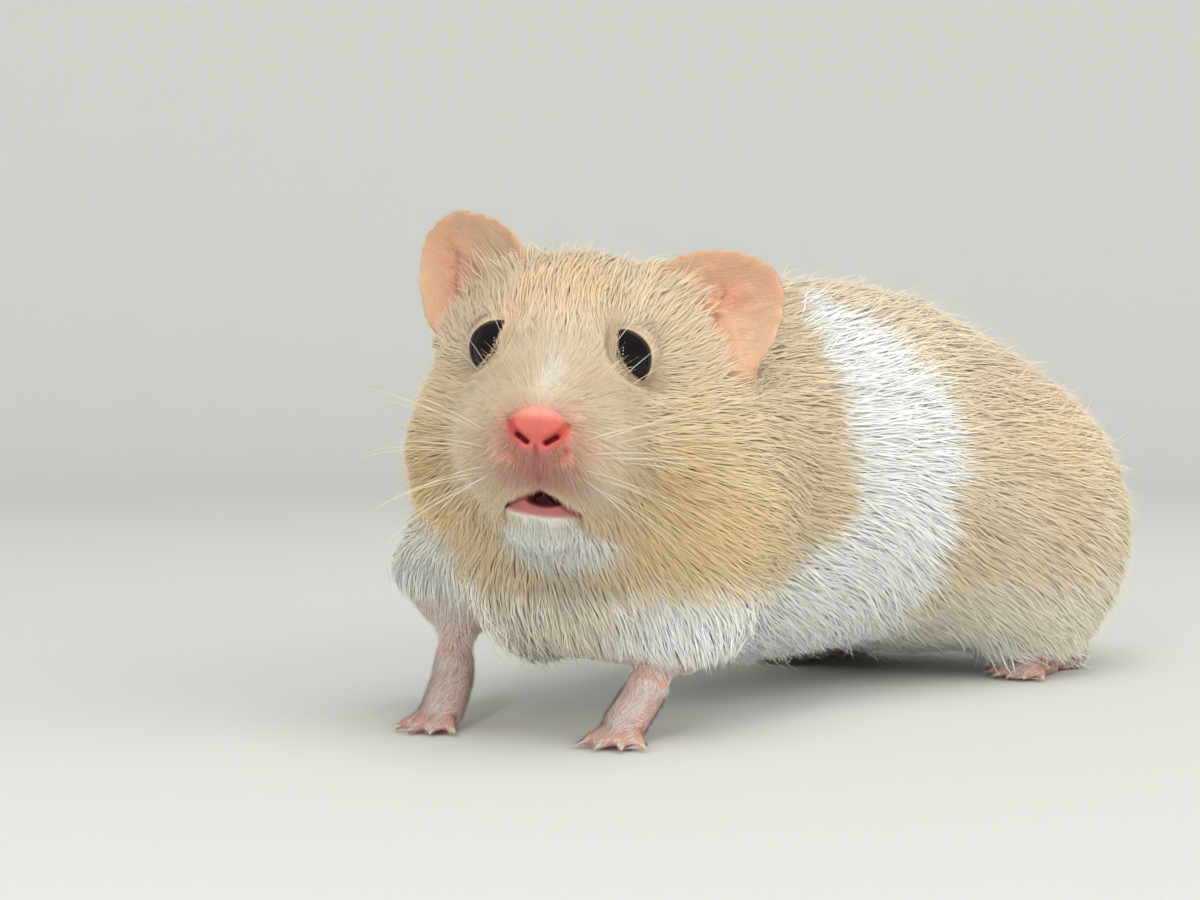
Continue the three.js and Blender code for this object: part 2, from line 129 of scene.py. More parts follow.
def triangles_of(obj):
    obj.data.calc_loop_triangles()
    flat = np.empty(len(obj.data.loop_triangles) * 3, np.int32)
    obj.data.loop_triangles.foreach_get("vertices", flat)
    return flat.reshape(-1, 3)


def gathered(index, values, count):
    """Sums rows of values into count bins."""
    return np.stack([np.bincount(index, values[:, c], count) for c in range(values.shape[1])], 1)


def normals_of(points, triangles):
    a, b, c = (points[triangles[:, i]] for i in range(3))
    face = np.cross(b - a, c - a)
    return unit(sum(gathered(triangles[:, i], face, len(points)) for i in range(3)))


def relaxed(values, edges, weight, rounds):
    """Evens out values over the mesh, each point towards the mean of its neighbours."""
    count = len(values)
    degree = np.maximum(np.bincount(edges.ravel(), minlength=count), 1)[:, None]
    weight = np.broadcast_to(weight, (count,))[:, None]
    for _ in range(rounds):
        total = gathered(edges[:, 0], values[edges[:, 1]], count)
        total += gathered(edges[:, 1], values[edges[:, 0]], count)
        values = values + weight * (total / degree - values)
    return values


# ---------- Skin ----------

FLESH = sorted(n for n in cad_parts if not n.startswith("eye"))
VOXEL = 0.59
# Share of the body's faces that stay where the coat is long.
BODY_KEPT = 0.25
# Heights at which the forelegs' coat gives way to bare wrists, left and right.
CUFFS = (13.2, 19.0)
# How far each part is swollen so that it meets its neighbours.
SWELL = {
    "nose": 0.3, "jaw": 0.4, "ear": 0.15, "foreleg": 0.4, "forepaw": 0.05,
    "hindfoot": 0.05, "tail": 0.3, "eye": 0.3,
}
PLAIN_SWELL = 0.8
# How deep the skin lies under the coat's tips, by part.
COAT_DEPTH = {
    "head": 1.1, "nose": 0.05, "jaw": 0.8, "ear": 0.0, "neck": 1.6, "chest": 1.6,
    "trunk": 1.7, "rump": 1.7, "tail": 0.7, "foreleg": 0.9, "forepaw": 0.05,
    "hindleg": 1.4, "hindfoot": 0.05, "eye": 0.5,
}


def flesh_shell():
    """Copies of all the nodes, swollen until they meet, and drawn again as one closed shell."""
    copies = []
    for name in sorted(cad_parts):
        copy = bpy.data.objects.new("skin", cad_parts[name].data.copy())
        bpy.context.collection.objects.link(copy)
        copy.data.materials.clear()
        choose(copy)
        bpy.ops.object.mode_set(mode="EDIT")
        bpy.ops.mesh.select_all(action="SELECT")
        bpy.ops.mesh.remove_doubles(threshold=2e-6)
        bpy.ops.transform.shrink_fatten(value=MM * SWELL.get(name.split("_")[0], PLAIN_SWELL))
        bpy.ops.object.mode_set(mode="OBJECT")
        copies.append(copy)
    for copy in copies:
        copy.select_set(True)
    bpy.ops.object.join()
    shell = bpy.context.object
    redraw = shell.modifiers.new("redraw", "REMESH")
    redraw.mode = "VOXEL"
    redraw.voxel_size = VOXEL * MM
    bpy.ops.object.modifier_apply(modifier="redraw")
    shell.name = shell.data.name = "skin"
    keep_largest(shell)
    return shell


def keep_largest(shell):
    """Drops every loose shell but the one that holds the most points."""
    edges, count = edges_of(shell), len(shell.data.vertices)
    label = np.arange(count)
    while True:
        low = np.minimum(label[edges[:, 0]], label[edges[:, 1]])
        after = label.copy()
        np.minimum.at(after, edges[:, 0], low)
        np.minimum.at(after, edges[:, 1], low)
        after = after[after]
        if (after == label).all():
            break
        label = after
    main = np.bincount(label).argmax()
    extra = label != main
    if extra.any():
        edit_chosen(shell, "VERT", "vertices", extra)
        bpy.ops.mesh.delete(type="VERT")
        bpy.ops.object.mode_set(mode="OBJECT")


LIMBS = ("foreleg", "forepaw", "hindleg", "hindfoot")


def nearest_nodes(points):
    """The name of the solid that is nearest to each point."""
    tree, owner = KDTree(sum(len(n.data.vertices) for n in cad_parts.values())), []
    for name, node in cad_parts.items():
        for p in points_of(node):
            tree.insert(p, len(owner))
            owner.append(name)
    tree.balance()
    return [owner[tree.find(p)[1]] for p in points]


def depth_under_coat(points):
    """Each point's depth of coat and swelling, and whether it is on a limb, from the nearest part."""
    parts = [name.split("_")[0] for name in nearest_nodes(points)]
    return np.array([(COAT_DEPTH[p], SWELL.get(p, PLAIN_SWELL), p in LIMBS) for p in parts])


def under_the_coat(shell):
    """Evens the shell and moves it inwards by the depth of the coat."""
    points, edges, triangles = points_of(shell), edges_of(shell), triangles_of(shell)
    coat, swell, limb = depth_under_coat(points).T
    local = in_head(points)
    x, y, z = points.T
    wrist = (y < -34) & (z < np.where(x < -8, CUFFS[1], CUFFS[0]) + 1.5)
    coat = np.where((wrist | ((y > 20) & (z < 5))) & (limb > 0), np.minimum(coat, 0.15), coat)
    joint = smooth(z, 8, 10) * smooth(z, 22, 19) * (y < -34) * limb
    bare = coat < 0.3
    mouth = bump(local, (0.3, -15, -11.5), (5.5, 5, 2.2))
    points = relaxed(points, edges, np.where(bare, np.where(z < 4, 0.08, 0.22), 0.5), 7)
    points = relaxed(points, edges, np.where(bare, 0, 0.5), 24)
    points = relaxed(points, edges, smooth(mouth, 0.3, 0.6) * 0.5, 70)
    depth = relaxed(np.stack([coat + swell], 1), edges, np.where(bare, 0, 0.5), 24)[:, 0]
    snout = smooth(local[:, 1], -8, -17) * smooth(np.abs(local[:, 0]), 14, 8)
    lids = np.max([bump(local, eye, (5.5, 5.5, 5.5)) for eye in EYES.values()], axis=0)
    depth -= np.maximum(0.75 * snout, 0.8 * lids) * np.maximum(depth - 0.9, 0)
    for _ in range(6):
        points = points - normals_of(points, triangles) * depth[:, None] / 6
        points = relaxed(points, edges, np.where(bare, 0.02, 0.2), 1)
    points = relaxed(points, edges, joint * 0.5, 14)
    points[:, 2] = np.maximum(points[:, 2], 0)
    set_points(shell, points)


def thinned(shell, kept):
    """Takes faces away where the coat is long, and leaves the face, the ears and the feet as they are."""
    points = points_of(shell)
    local = in_head(points)
    body = (local[:, 1] > 8) & (points[:, 2] > np.where(points[:, 1] < -30, 22, 9))
    for _, q, mine in ear_places(local):
        body &= ~((q[:, 2] > -1) & (np.abs(q[:, 0]) < 10) & (np.abs(q[:, 1]) < 7) & mine)
    group = shell.vertex_groups.new(name="body")
    group.add(np.flatnonzero(body).tolist(), 1.0, "REPLACE")
    choose(shell)
    fewer = shell.modifiers.new("fewer", "DECIMATE")
    fewer.ratio = 1 - body.mean() * (1 - kept)
    fewer.vertex_group = "body"
    bpy.ops.object.modifier_apply(modifier="fewer")
    shell.vertex_groups.clear()


def unwrap(shell):
    """A map of the skin's own shape, which the coat's tufts take their places from."""
    choose(shell)
    shell.data.uv_layers.new(name="OFBake")
    bpy.ops.object.mode_set(mode="EDIT")
    bpy.ops.mesh.select_all(action="SELECT")
    bpy.ops.uv.smart_project(angle_limit=math.radians(70), island_margin=0.001)
    bpy.ops.object.mode_set(mode="OBJECT")


def refine(shell, wanted):
    """Subdivides the faces whose middle point is wanted, once."""
    flat = np.empty(len(shell.data.polygons) * 3, np.float32)
    shell.data.polygons.foreach_get("center", flat)
    edit_chosen(shell, "FACE", "polygons", wanted(flat.reshape(-1, 3).astype(float) * 1000))
    bpy.ops.mesh.subdivide(number_cuts=1, smoothness=0)
    bpy.ops.object.mode_set(mode="OBJECT")
    points, edges = points_of(shell), edges_of(shell)
    near = wanted(points)
    set_points(shell, relaxed(points, edges, np.where(near, 0.4, 0), 2))


NOSE_X = 0.5


def on_face(points):
    local = in_head(points)
    x, y, z = local.T
    return ((y < -6.5) & (np.abs(x) < 11) & (z > -17) & (z < 10)) | (ear_zone(local) > 0.3)


def on_eyes(points):
    local = in_head(points)
    return np.min([np.linalg.norm(local - eye, axis=1) for eye in EYES.values()], axis=0) < 4.4


def on_snout(points):
    x, y, z = in_head(points).T
    return (y < -13.5) & (np.abs(x - NOSE_X) < 5) & (z > -15) & (z < -2)


# Each ear's place on the head and its turns. "line" is where the head's fur gives way to the ear's
# down, along the ear by how far across. "warm" are pink places and "crease" a groove that is carved
# in and painted dark as shade, both given across and along the ear.
EARS = {
    "left": {"side": 1, "root": (12.4, 4.4, 10.6), "splay": 50, "lean": 20, "turn": 8,
             "line": (-0.6, -0.29), "crease": ((-0.5, 4.6), (-1.5, 6.4)),
             "warm": ((-1.4, 5.6, 3.4, 3.2, 1.0), (2.6, 2.4, 2.6, 1.8, 0.8), (5.4, -1.2, 2.6, 1.8, 0.7))},
    "right": {"side": -1, "root": (-11, 5, 12.6), "splay": 38, "lean": 14, "turn": 20,
              "line": (1.8, -0.25), "crease": ((0.6, 8.4), (4.2, 3.8)),
              "warm": ((1.2, 6.4, 3.0, 3.8, 1.0), (3.6, 3.4, 2.2, 2.4, 0.7))},
}


def ear_frame(ear):
    """The ear's own turn, inside the head's frame: z from root to tip, the dish open to -y."""
    return np.array(
        Matrix.Rotation(math.radians(ear["splay"] * ear["side"]), 3, "Y")
        @ Matrix.Rotation(math.radians(-ear["lean"]), 3, "X")
        @ Matrix.Rotation(math.radians(ear["turn"] * ear["side"]), 3, "Z")
    )


def ear_places(local):
    """For each ear, its entry and the points across, through and along it, where they are on its side."""
    for ear in EARS.values():
        q = (local - np.array(ear["root"])) @ ear_frame(ear)
        q[:, 0] *= ear["side"]
        yield ear, q, local[:, 0] * ear["side"] > 2


def ear_zone(local):
    """0 to 1 where short down takes the place of the head's fur: the ears and the skin before them."""
    zone = np.zeros(len(local))
    for ear, q, mine in ear_places(local):
        base, slope = ear["line"]
        line = base + slope * q[:, 0]
        share = smooth(q[:, 2], line - 1.2, line + 1.2) * smooth(np.abs(q[:, 0]), 10, 8.2)
        share *= smooth(q[:, 1], -9, -7.5) * smooth(q[:, 1], 0.5, -0.6) * mine
        zone = np.maximum(zone, share)
    return zone


# ---------- Lids ----------

# The opening of the lids, as angles on the eyeball: half its width and height, the way it faces
# out from straight ahead and up, and how far its top leans towards the nose.
LIDS = {"width": 32, "height": 63, "out": 24, "up": 1, "lean": 30}


def lid_edge(local, side, eye):
    """Distance outside the lids' edge along the eyeball, the distance from its centre and the ways."""
    out, up, lean = (math.radians(LIDS[k]) for k in ("out", "up", "lean"))
    facing = np.array([side * math.sin(out) * math.cos(up), -math.cos(out) * math.cos(up), math.sin(up)])
    across = np.array([side * math.cos(out), math.sin(out), 0])
    rise = np.cross(facing, across) * side
    ray = local - eye
    far = np.linalg.norm(ray, axis=1)
    way = ray / np.maximum(far, 1e-6)[:, None]
    angle = np.arccos(np.clip(way @ facing, -1, 1))
    scale = angle / np.maximum(np.sin(angle), 1e-3)
    a, b = way @ across * scale, way @ rise * scale
    s = a * math.cos(lean) + b * math.sin(lean)
    t = -a * math.sin(lean) + b * math.cos(lean)
    p = 1.5
    wide, high = math.radians(LIDS["width"]), math.radians(LIDS["height"])
    shape = (np.abs(s / wide) ** p + np.abs(t / high) ** p) ** (1 / p)
    return (shape - 1) * 0.78 * EYE_RADIUS, far, way, angle


def shape_lids(local):
    for name, eye in EYES.items():
        side = 1 if name == "left" else -1
        edge, far, way, angle = lid_edge(local, side, eye)
        near = (edge < 4) & (angle < 2.1) & (far < 8)
        rim = EYE_RADIUS + 0.22
        over = rim + 0.12 * np.maximum(edge, 0)
        natural = np.maximum(far, rim * 0.97)
        outer = over + (natural - over) * smooth(edge, 0.25, 2.8)
        radius = 2.5 + (outer - 2.5) * smooth(edge, -0.42, 0.02)
        share = near * smooth(far, 7.8, 5.6)
        local = mix(local, eye + way * radius[:, None], share)
    return local


def groove(local, ends, width):
    """1 along the line between two points in x and z, falling softly to its sides and past its ends."""
    a, b = (np.array(e, float) for e in ends)
    q = local[:, [0, 2]] - a
    t = np.clip(q @ (b - a) / ((b - a) @ (b - a)), 0, 1)
    off = np.linalg.norm(q - t[:, None] * (b - a), axis=1)
    return np.exp(-((off / width) ** 2))


def shape_nose(local):
    """Pad, nostrils, the groove under the nose, and the mouth. Positive is inwards."""
    x, y, z = local.T
    x = x - NOSE_X
    flat = local - np.array([NOSE_X, 0, 0])
    front = smooth(y, -11, -14)
    pad = smooth(np.hypot(x / 3.25, (z + 4.7) / 2.5), 1.2, 0.8)
    inward = -0.45 * pad * front
    for side in (-1, 1):
        slit = groove(flat, ((side * 1.05, -6.2), (side * 2.1, -5.5)), 0.3)
        wing = groove(flat, ((side * 2.4, -5.3), (side * 3.3, -3.6)), 0.3)
        lobe = groove(flat, ((side * 0.9, -7.0), (side * 1.6, -6.9)), 0.5)
        under = groove(flat, ((side * 1.2, -8.3), (side * 3.0, -7.0)), 0.55)
        brow = groove(flat, ((side * 1.3, -5.3), (side * 2.4, -4.5)), 0.4)
        inward += front * (1.15 * slit + 0.35 * wing - 0.22 * lobe + 0.42 * under - 0.2 * brow)
    inward += front * 0.5 * groove(flat, ((0, -6.7), (0, -10.2)), 0.24)
    inward += front * 0.15 * groove(flat, ((0, -3.0), (0, -5.6)), 0.5)
    # Mouth: a small open triangle, and the lip line running down to both corners.
    top, left, right = (-0.1, -11.0), (-4.2, -12.9), (4.3, -13.5)
    crease = np.maximum(groove(flat, (top, left), 0.32), groove(flat, (top, right), 0.32))
    inward += front * 0.85 * crease
    lid = -11.0 - 0.46 * np.abs(x + 0.1)
    floor = -12.7 + 0.12 * (x - 0.4) ** 2
    inside = smooth(z, lid + 0.1, lid - 0.45) * smooth(z, floor - 0.35, floor + 0.3)
    inside *= smooth(np.abs(x - 0.4), 2.6, 1.2)
    inward += front * 2.6 * inside
    lip = groove(flat, ((-2.2, -13.5), (2.8, -13.8)), 0.85)
    inward -= front * 0.55 * lip * (1 - inside)
    return local + np.stack([np.zeros_like(x), inward, np.zeros_like(x)], 1)


def shape_face(shell):
    local = in_head(points_of(shell))
    local = shape_lids(local)
    local = shape_nose(local)
    local = shape_ears(local, normals_of(local, triangles_of(shell)))
    set_points(shell, from_head(local))


# Ridges and hollows on an ear's open side: two ends across and along it, width, and height.
EAR_FOLDS = [((-1.6, 1.0), (-0.4, 8.6), 0.9, 0.5), ((1.7, 1.2), (2.9, 6.2), 0.8, 0.45),
             ((-4.4, 1.5), (-4.9, 6.0), 0.9, 0.3), ((0.4, 4.2), (2.2, 9.0), 0.6, 0.25),
             ((0.2, -0.6), (0.6, 2.6), 1.2, -0.6), ((3.4, 1.0), (4.6, 4.5), 0.9, -0.3)]


def shape_ears(local, normals):
    """Folds and a crease inside each ear."""
    for ear, q, mine in ear_places(local):
        turn = ear_frame(ear)
        front = smooth(-(normals @ turn)[:, 1], 0.1, 0.6)
        inside = smooth(q[:, 2], -3, 0.5) * smooth(np.abs(q[:, 0]), 8.5, 7)
        inside *= smooth(q[:, 1], -3.6, -2.4) * mine
        height = sum(h * groove(q, (a, b), w) for a, b, w, h in EAR_FOLDS)
        height = height - 0.3 * groove(q, ear["crease"], 0.4)
        local = local - turn[:, 1] * (height * front * inside)[:, None]
    return local


# ---------- Markings ----------


def linear(*shade):
    """A colour given as 0 to 255 screen numbers, as the shader wants it."""
    c = np.array(shade) / 255
    return np.where(c <= 0.04045, c / 12.92, ((c + 0.055) / 1.055) ** 2.4)


CREAM = linear(228, 205, 170)
HONEY = linear(228, 205, 164)
ORANGE = linear(246, 212, 156)
BISCUIT = linear(228, 208, 178)
PALE_BISCUIT = linear(238, 222, 194)
WHITE = linear(252, 251, 246)
CHEST = linear(232, 220, 196)
MUZZLE = linear(232, 212, 182)
FLUSH = linear(208, 122, 106)
NOSE = linear(208, 106, 94)
NOSTRIL = linear(140, 26, 28)
LIP = linear(176, 104, 104)
MOUTH = linear(110, 18, 32)
PAW = linear(196, 140, 124)
EAR = linear(224, 182, 148)
EAR_PINK = linear(226, 142, 112)
LID = linear(38, 24, 22)

# Where the white band round the body starts and ends along y, by height.
BAND_Z = [6, 15, 21, 26, 31, 35, 39, 43, 46.5, 50, 52.5, 54]
BAND_FRONT = [-60, -60, -60, -20.3, -21.1, -22.3, -22.4, -21.6, -19.6, -16, -13, -10.7]
BAND_BACK = [8, 2.5, 1.5, 1.6, 3.6, 2.2, 0.4, -2.4, -4.3, -7, -10.5, -12.5]


def drift(points, size, seed):
    """Soft noise about -1 to 1, with features about size across."""
    rng = np.random.default_rng(seed)
    ways = rng.normal(size=(7, 3))
    pace = rng.uniform(0.6, 1.5, (7, 1)) * 2 * math.pi / size
    ways *= pace / np.linalg.norm(ways, axis=1, keepdims=True) / 2
    return np.sin(points @ ways.T + rng.uniform(0, 6.28, 7)).sum(1) / 3


def mix(base, over, share):
    return base + (over - base) * share[:, None]


def whiteness(points):
    """0 to 1 where the coat of the body is white."""
    y, z = points[:, 1], points[:, 2]
    wobble = drift(points, 9, 3) * 1.3 + drift(points, 4, 4) * 0.8
    front = np.interp(z, BAND_Z, BAND_FRONT)
    back = np.interp(z, BAND_Z, BAND_BACK)
    band = np.minimum(y - front + wobble * 0.5, back - y + wobble * 1.7)
    under = np.interp(y, [-56, -48, -40, -28, -20, 0, 12, 40], [17, 22, 22.5, 23, 26, 15, 9, 6]) - z + wobble
    return smooth(np.maximum(band, under), -1.2, 1.4)


def head_share(local):
    return smooth(local[:, 1], 17, 9) * smooth(local[:, 2], -20.5, -16.5)


def coat_colours(points, local):
    """The coat's colour at each root: cream head and neck, white band, shoulders and belly, beige rump."""
    x, y, z = points.T
    hx, hy, hz = local.T
    spots = drift(points, 14, 5)
    body = mix(np.tile(BISCUIT, (len(points), 1)), PALE_BISCUIT, smooth(spots, -0.2, 1.2) * 0.8)
    body = mix(body, PALE_BISCUIT, smooth(z, 44, 56) * 0.6)
    body = mix(body, HONEY, smooth(drift(points, 17, 8), 0.2, 1.3) * 0.35)
    warm = bump(points, (27, 27, 35), (12, 13, 7)) + bump(points, (-24, 30, 32), (12, 12, 8))
    body = mix(body, linear(240, 212, 168), np.clip(warm, 0, 1) * 0.7)
    body = mix(body, linear(244, 236, 216), smooth(z, 22, 13) * smooth(y, 2, 10) * 0.85)
    nape = mix(np.tile(CREAM, (len(points), 1)), HONEY, smooth(z, 50, 26) * 0.8)
    body = mix(body, nape, smooth(y, -8, -14))
    body = mix(body, WHITE, whiteness(points))
    chest = smooth(y, -44, -50) * smooth(np.abs(x + 5), 13, 7) * smooth(z, 25, 19) * smooth(z, 4, 9)
    body = mix(body, CHEST, chest * 0.85)
    head = np.tile(CREAM, (len(points), 1))
    cheeks = smooth(np.abs(hx), 8, 15) * smooth(hz, 6, -6)
    head = mix(head, HONEY, cheeks * 0.85)
    throat = bump(local, (14, -2, -12), (8.5, 9, 5.2)) + bump(local, (-12, 0, -13), (6, 9, 4))
    head = mix(head, ORANGE, np.clip(throat * 1.1, 0, 1) * 0.8)
    crown = bump(local, (0.7, -7, 13), (3.6, 4.5, 4))
    head = mix(head, linear(206, 184, 146), crown * 0.7)
    # Darker ochre on each cheek behind the whisker pad: partly the cheek's own golden coat, partly painted
    # shade where the cheek lies behind the pad.
    for side in (-1, 1):
        cheek_shade = bump(local, (side * 12.4, -7.6, -8), (3.4, 5, 4.4))
        head = mix(head, linear(214, 180, 128), cheek_shade * 0.7)
    peach = smooth(drift(points, 9, 51), 0.1, 1.1) * smooth(hz, 2, 9)
    head = mix(head, linear(240, 206, 166), peach * 0.6)
    brow = smooth(np.abs(hx), 7, 3) * smooth(hy, -8, -13) * smooth(hz, 1, 4)
    head = mix(head, PALE_BISCUIT, brow * 0.5)
    pale = bump(local, (0.6, -17.4, 0.6), (1.2, 4, 2.8))
    muzzle = smooth(hy, -12.5, -16.5) * smooth(np.abs(hx - NOSE_X), 9, 6) * smooth(hz, -1, -4)
    head = mix(head, MUZZLE, muzzle)
    head = mix(head, linear(226, 160, 140), flush_share(local) * 0.8)
    mauve = np.exp(-(((hx - NOSE_X) / 2.8) ** 2) - ((hz + 8.6) / 1.6) ** 2) * smooth(hy, -12, -15)
    head = mix(head, linear(200, 126, 122), mauve * 0.75)
    head = mix(head, linear(250, 240, 224), np.clip(pale * 1.3, 0, 1) * 0.75)
    chin = smooth(np.abs(hx - 0.9) + drift(points, 4, 72) * 0.6, 7.4, 4.6) * smooth(hz, -13.4, -14.4)
    chin *= smooth(hy, -3, -7) * smooth(hz, -20, -17.5)
    head = mix(head, WHITE, chin)
    shade = mix(body, head, head_share(local))
    elbow = smooth(z + drift(points, 6, 71), 29, 24) * smooth(x, -9, -15) * smooth(y, -20, -30)
    shade = mix(shade, WHITE, elbow * 0.9)
    # A darker brown ring round each eye: painted shade that tones down the light the ring catches.
    shade = mix(shade, linear(176, 140, 112), smooth(lid_distance(local), 1.0, 0.1) * 0.55)
    return mix(shade, linear(236, 204, 174), ear_zone(local) * 0.7)


def flush_share(local):
    """How much the pink of the nose shows through round it."""
    x, y, z = local.T
    x = x - NOSE_X
    near = np.hypot(x / 6.2, (z + 6.3) / 5.2) + drift(local, 3, 41) * 0.06
    return smooth(near, 1.2, 0.45) * smooth(y, -12, -15.5)


def mouth_line(x):
    """Height of the lip line, by distance from the middle."""
    return -11.0 - 0.46 * np.abs(x + 0.1)


def lip_share(local):
    """The pink of the lower lip and the gap of the mouth."""
    x, y, z = local.T
    x = x - NOSE_X
    low = -14.1 + 0.03 * (x - 0.6) ** 2
    below = smooth(z, mouth_line(x) + 0.25, mouth_line(x) - 0.1)
    return below * smooth(z, low - 0.3, low + 0.5) * smooth(y, -9, -11)


def nose_share(local):
    x, y, z = local.T
    soft = smooth(z, -4.5, -2.5)
    off = np.hypot((x - NOSE_X) / 3.25, (z + 4.7) / 2.5)
    return smooth(off, 1.12 + 0.15 * soft, 0.88 - 0.3 * soft) * smooth(y, -13, -15)


def lid_distance(local, reach=4.4, climb=4):
    """Distance outside the nearer eye's lids, which climbs quickly beyond their reach from its centre."""
    best = np.full(len(local), 50.0)
    for name, eye in EYES.items():
        edge, far, _, angle = lid_edge(local, 1 if name == "left" else -1, eye)
        edge = np.where((angle < 2.0) & (far < 12), edge + climb * np.maximum(far - reach, 0), 50)
        best = np.minimum(best, edge)
    return best


# ---------- Which part a point of the skin belongs to ----------

BARE_PARTS = {"paw": ("forepaw_left", "forepaw_right", "hindfoot_left", "hindfoot_right"),
              "ear": ("ear_left", "ear_right"), "leg": ("foreleg_left", "foreleg_right"),
              "thigh": ("hindleg_left", "hindleg_right"), "tail": ("tail",)}


def part_shares(shell):
    """For each kind of part, how much of it each point of the skin is, with soft borders."""
    edges = edges_of(shell)
    names = np.array(nearest_nodes(points_of(shell)))
    hard = np.stack([np.isin(names, members).astype(float) for members in BARE_PARTS.values()], 1)
    return dict(zip(BARE_PARTS, relaxed(hard, edges, 0.5, 6).T))


# ---------- Coat ----------

# Tufts below this length are the short coat, of straight tufts.
SHORT = 3.3
SHORT_TUFTS = 74000
LONG_TUFTS = 117000
# Triangles in one piece of the coat, and the side of a tuft's patch on the map.
PIECE_LIMIT = 190000
PATCH = 0.003


def lie(points, local, normals, parts):
    """The way that the coat lies: back and down the body from a centre at the nose."""
    x, y, z = points.T
    down = 0.12 + 0.5 * smooth(z, 40, 12)
    body = np.stack([np.zeros_like(x), np.ones_like(x), -down], 1)
    from_nose = local - np.array([NOSE_X, -21.5, -3.6])
    from_nose = unit(from_nose)
    from_nose[:, 2] += 0.25 * smooth(local[:, 2], 4, 12)
    head = from_nose @ HEAD_TURN.T
    way = mix(body, head, head_share(local))
    legs = np.stack([0.1 * np.sign(x), 0.15 * np.ones_like(x), -np.ones_like(x)], 1)
    way = mix(way, legs, np.clip(parts["leg"], 0, 1))
    ahead = np.stack([np.where(y < 0, 0.28, -0.2), -np.ones_like(x), -0.5 * smooth(z, 3, 8)], 1)
    way = mix(way, ahead, np.clip(parts["paw"], 0, 1))
    zone = ear_zone(local)
    for eye in EYES.values():
        away = local - eye
        far = np.linalg.norm(away, axis=1)
        way = mix(unit(way), unit(away) @ HEAD_TURN.T, smooth(far, 7, 3.6) * 0.55)
    for ear in EARS.values():
        side = local[:, 0] * ear["side"] > 0
        axis = ear_frame(ear) @ np.array([0.25 * ear["side"], 0, 1])
        share = np.maximum(parts["ear"] * 1.4, zone).clip(0, 1) * side
        way = mix(way, np.tile(axis @ HEAD_TURN.T, (len(points), 1)), share)
    swirl = np.stack([drift(points, 16, s) for s in (11, 12, 13)], 1)
    way = unit(way) + swirl * 0.14
    way -= (way * normals).sum(1, keepdims=True) * normals
    return unit(way)


# Length, width, rise and density of the tufts on the limbs, ears and tail, on bare skin, and on
# the down of the ears.
LIMB_COATS = {
    "leg": (5.0, 0.16, 0.26, 6.5), "thigh": (7.5, 0.2, 0.25, 4.6), "paw": (1.3, 0.06, 0.25, 3.2),
    "ear": (1.1, 0.045, 0.3, 2.6), "tail": (2.4, 0.12, 0.3, 8.0),
}
FINE_HAIRS = (2.2, 0.08, 0.18, 5.0)
EAR_DOWN = (1.2, 0.06, 0.24, 5.0)
# The same four on the head, each by distance back from the nose.
HEAD_COAT = (
    ([2, 5, 9, 14, 20, 28, 36], [1.1, 1.7, 2.6, 3.6, 5.2, 7.0, 8.5]),
    ([2, 6, 12, 20, 30], [0.07, 0.095, 0.13, 0.16, 0.2]),
    ([3, 8, 16, 26], [0.5, 0.4, 0.28, 0.18]),
    ([3, 7, 12, 20, 30], [16, 15, 13, 9.5, 6]),
)


def draw_towards(kinds, wanted, share):
    """Draws each array of kinds towards its wanted value, in place, by a share from 0 to 1."""
    for values, value in zip(kinds, wanted):
        values += (value - values) * share


def coat_kind(points, local, normals, parts):
    """Density per square millimetre, length, width and rise of the tufts at each point."""
    z = points[:, 2]
    on_head = head_share(local)
    length = 9.2 + drift(points, 20, 21) * 0.8
    length -= 2.2 * smooth(z, 16, 8)
    width = np.full_like(z, 0.26)
    rise = np.full_like(z, 0.17)
    dense = np.full_like(z, 4.8)
    # Head: short round the nose, longer to the crown and cheeks.
    back = np.linalg.norm(local - np.array([NOSE_X, -20.5, -4]), axis=1)
    kinds = (length, width, rise, dense)
    draw_towards(kinds, [np.interp(back, *curve) for curve in HEAD_COAT], on_head)
    for key, values in LIMB_COATS.items():
        share = np.clip(parts[key] * (1.3 if key in ("paw", "ear") else 1), 0, 1)
        draw_towards(kinds, values, share)
    # Fine hairs on the feet and wrists, and short down on and before the ears.
    draw_towards(kinds, FINE_HAIRS, bared_share(points, parts))
    zone = np.maximum(ear_zone(local), np.clip(parts["ear"] * 1.4, 0, 1))
    draw_towards(kinds, EAR_DOWN, zone)
    standing = bump(local, (-3, -1, 17), (6, 5, 4))
    rise += 0.12 * standing
    # Bare places.
    dense *= smooth(nose_share(local), 0.7, 0.2) * smooth(lip_share(local), 0.85, 0.35)
    lids = lid_distance(local)
    dense *= smooth(lids, 0.02, 0.12)
    length = np.minimum(length, 1.1 + 0.9 * np.maximum(lids, 0))
    dense *= 1 - 0.5 * flush_share(local) * smooth(nose_share(local), 1, 0)
    dense *= 1 - smooth(-normals[:, 2], 0.75, 0.95) * smooth(z, 3, 1)
    dense *= np.where((parts["paw"] > 0.3) & (z < 0.5), 0, 1)
    return dense, length, width, rise


def bared_share(points, parts):
    """0 to 1 down the forelegs, where the coat gives way to pink skin with fine hairs."""
    x, y, z = points.T
    cuff = np.where(x < -8, CUFFS[1], CUFFS[0]) + drift(points, 5, 61) * 0.8
    front = np.clip(parts["leg"] * 1.3 + parts["paw"], 0, 1) * (y < 0)
    hind = np.clip(parts["thigh"] + parts["paw"] * 1.3, 0, 1) * (y > 0) * smooth(z, 8, 5)
    return np.maximum(front * smooth(z, cuff + 1.5, cuff - 3), hind)


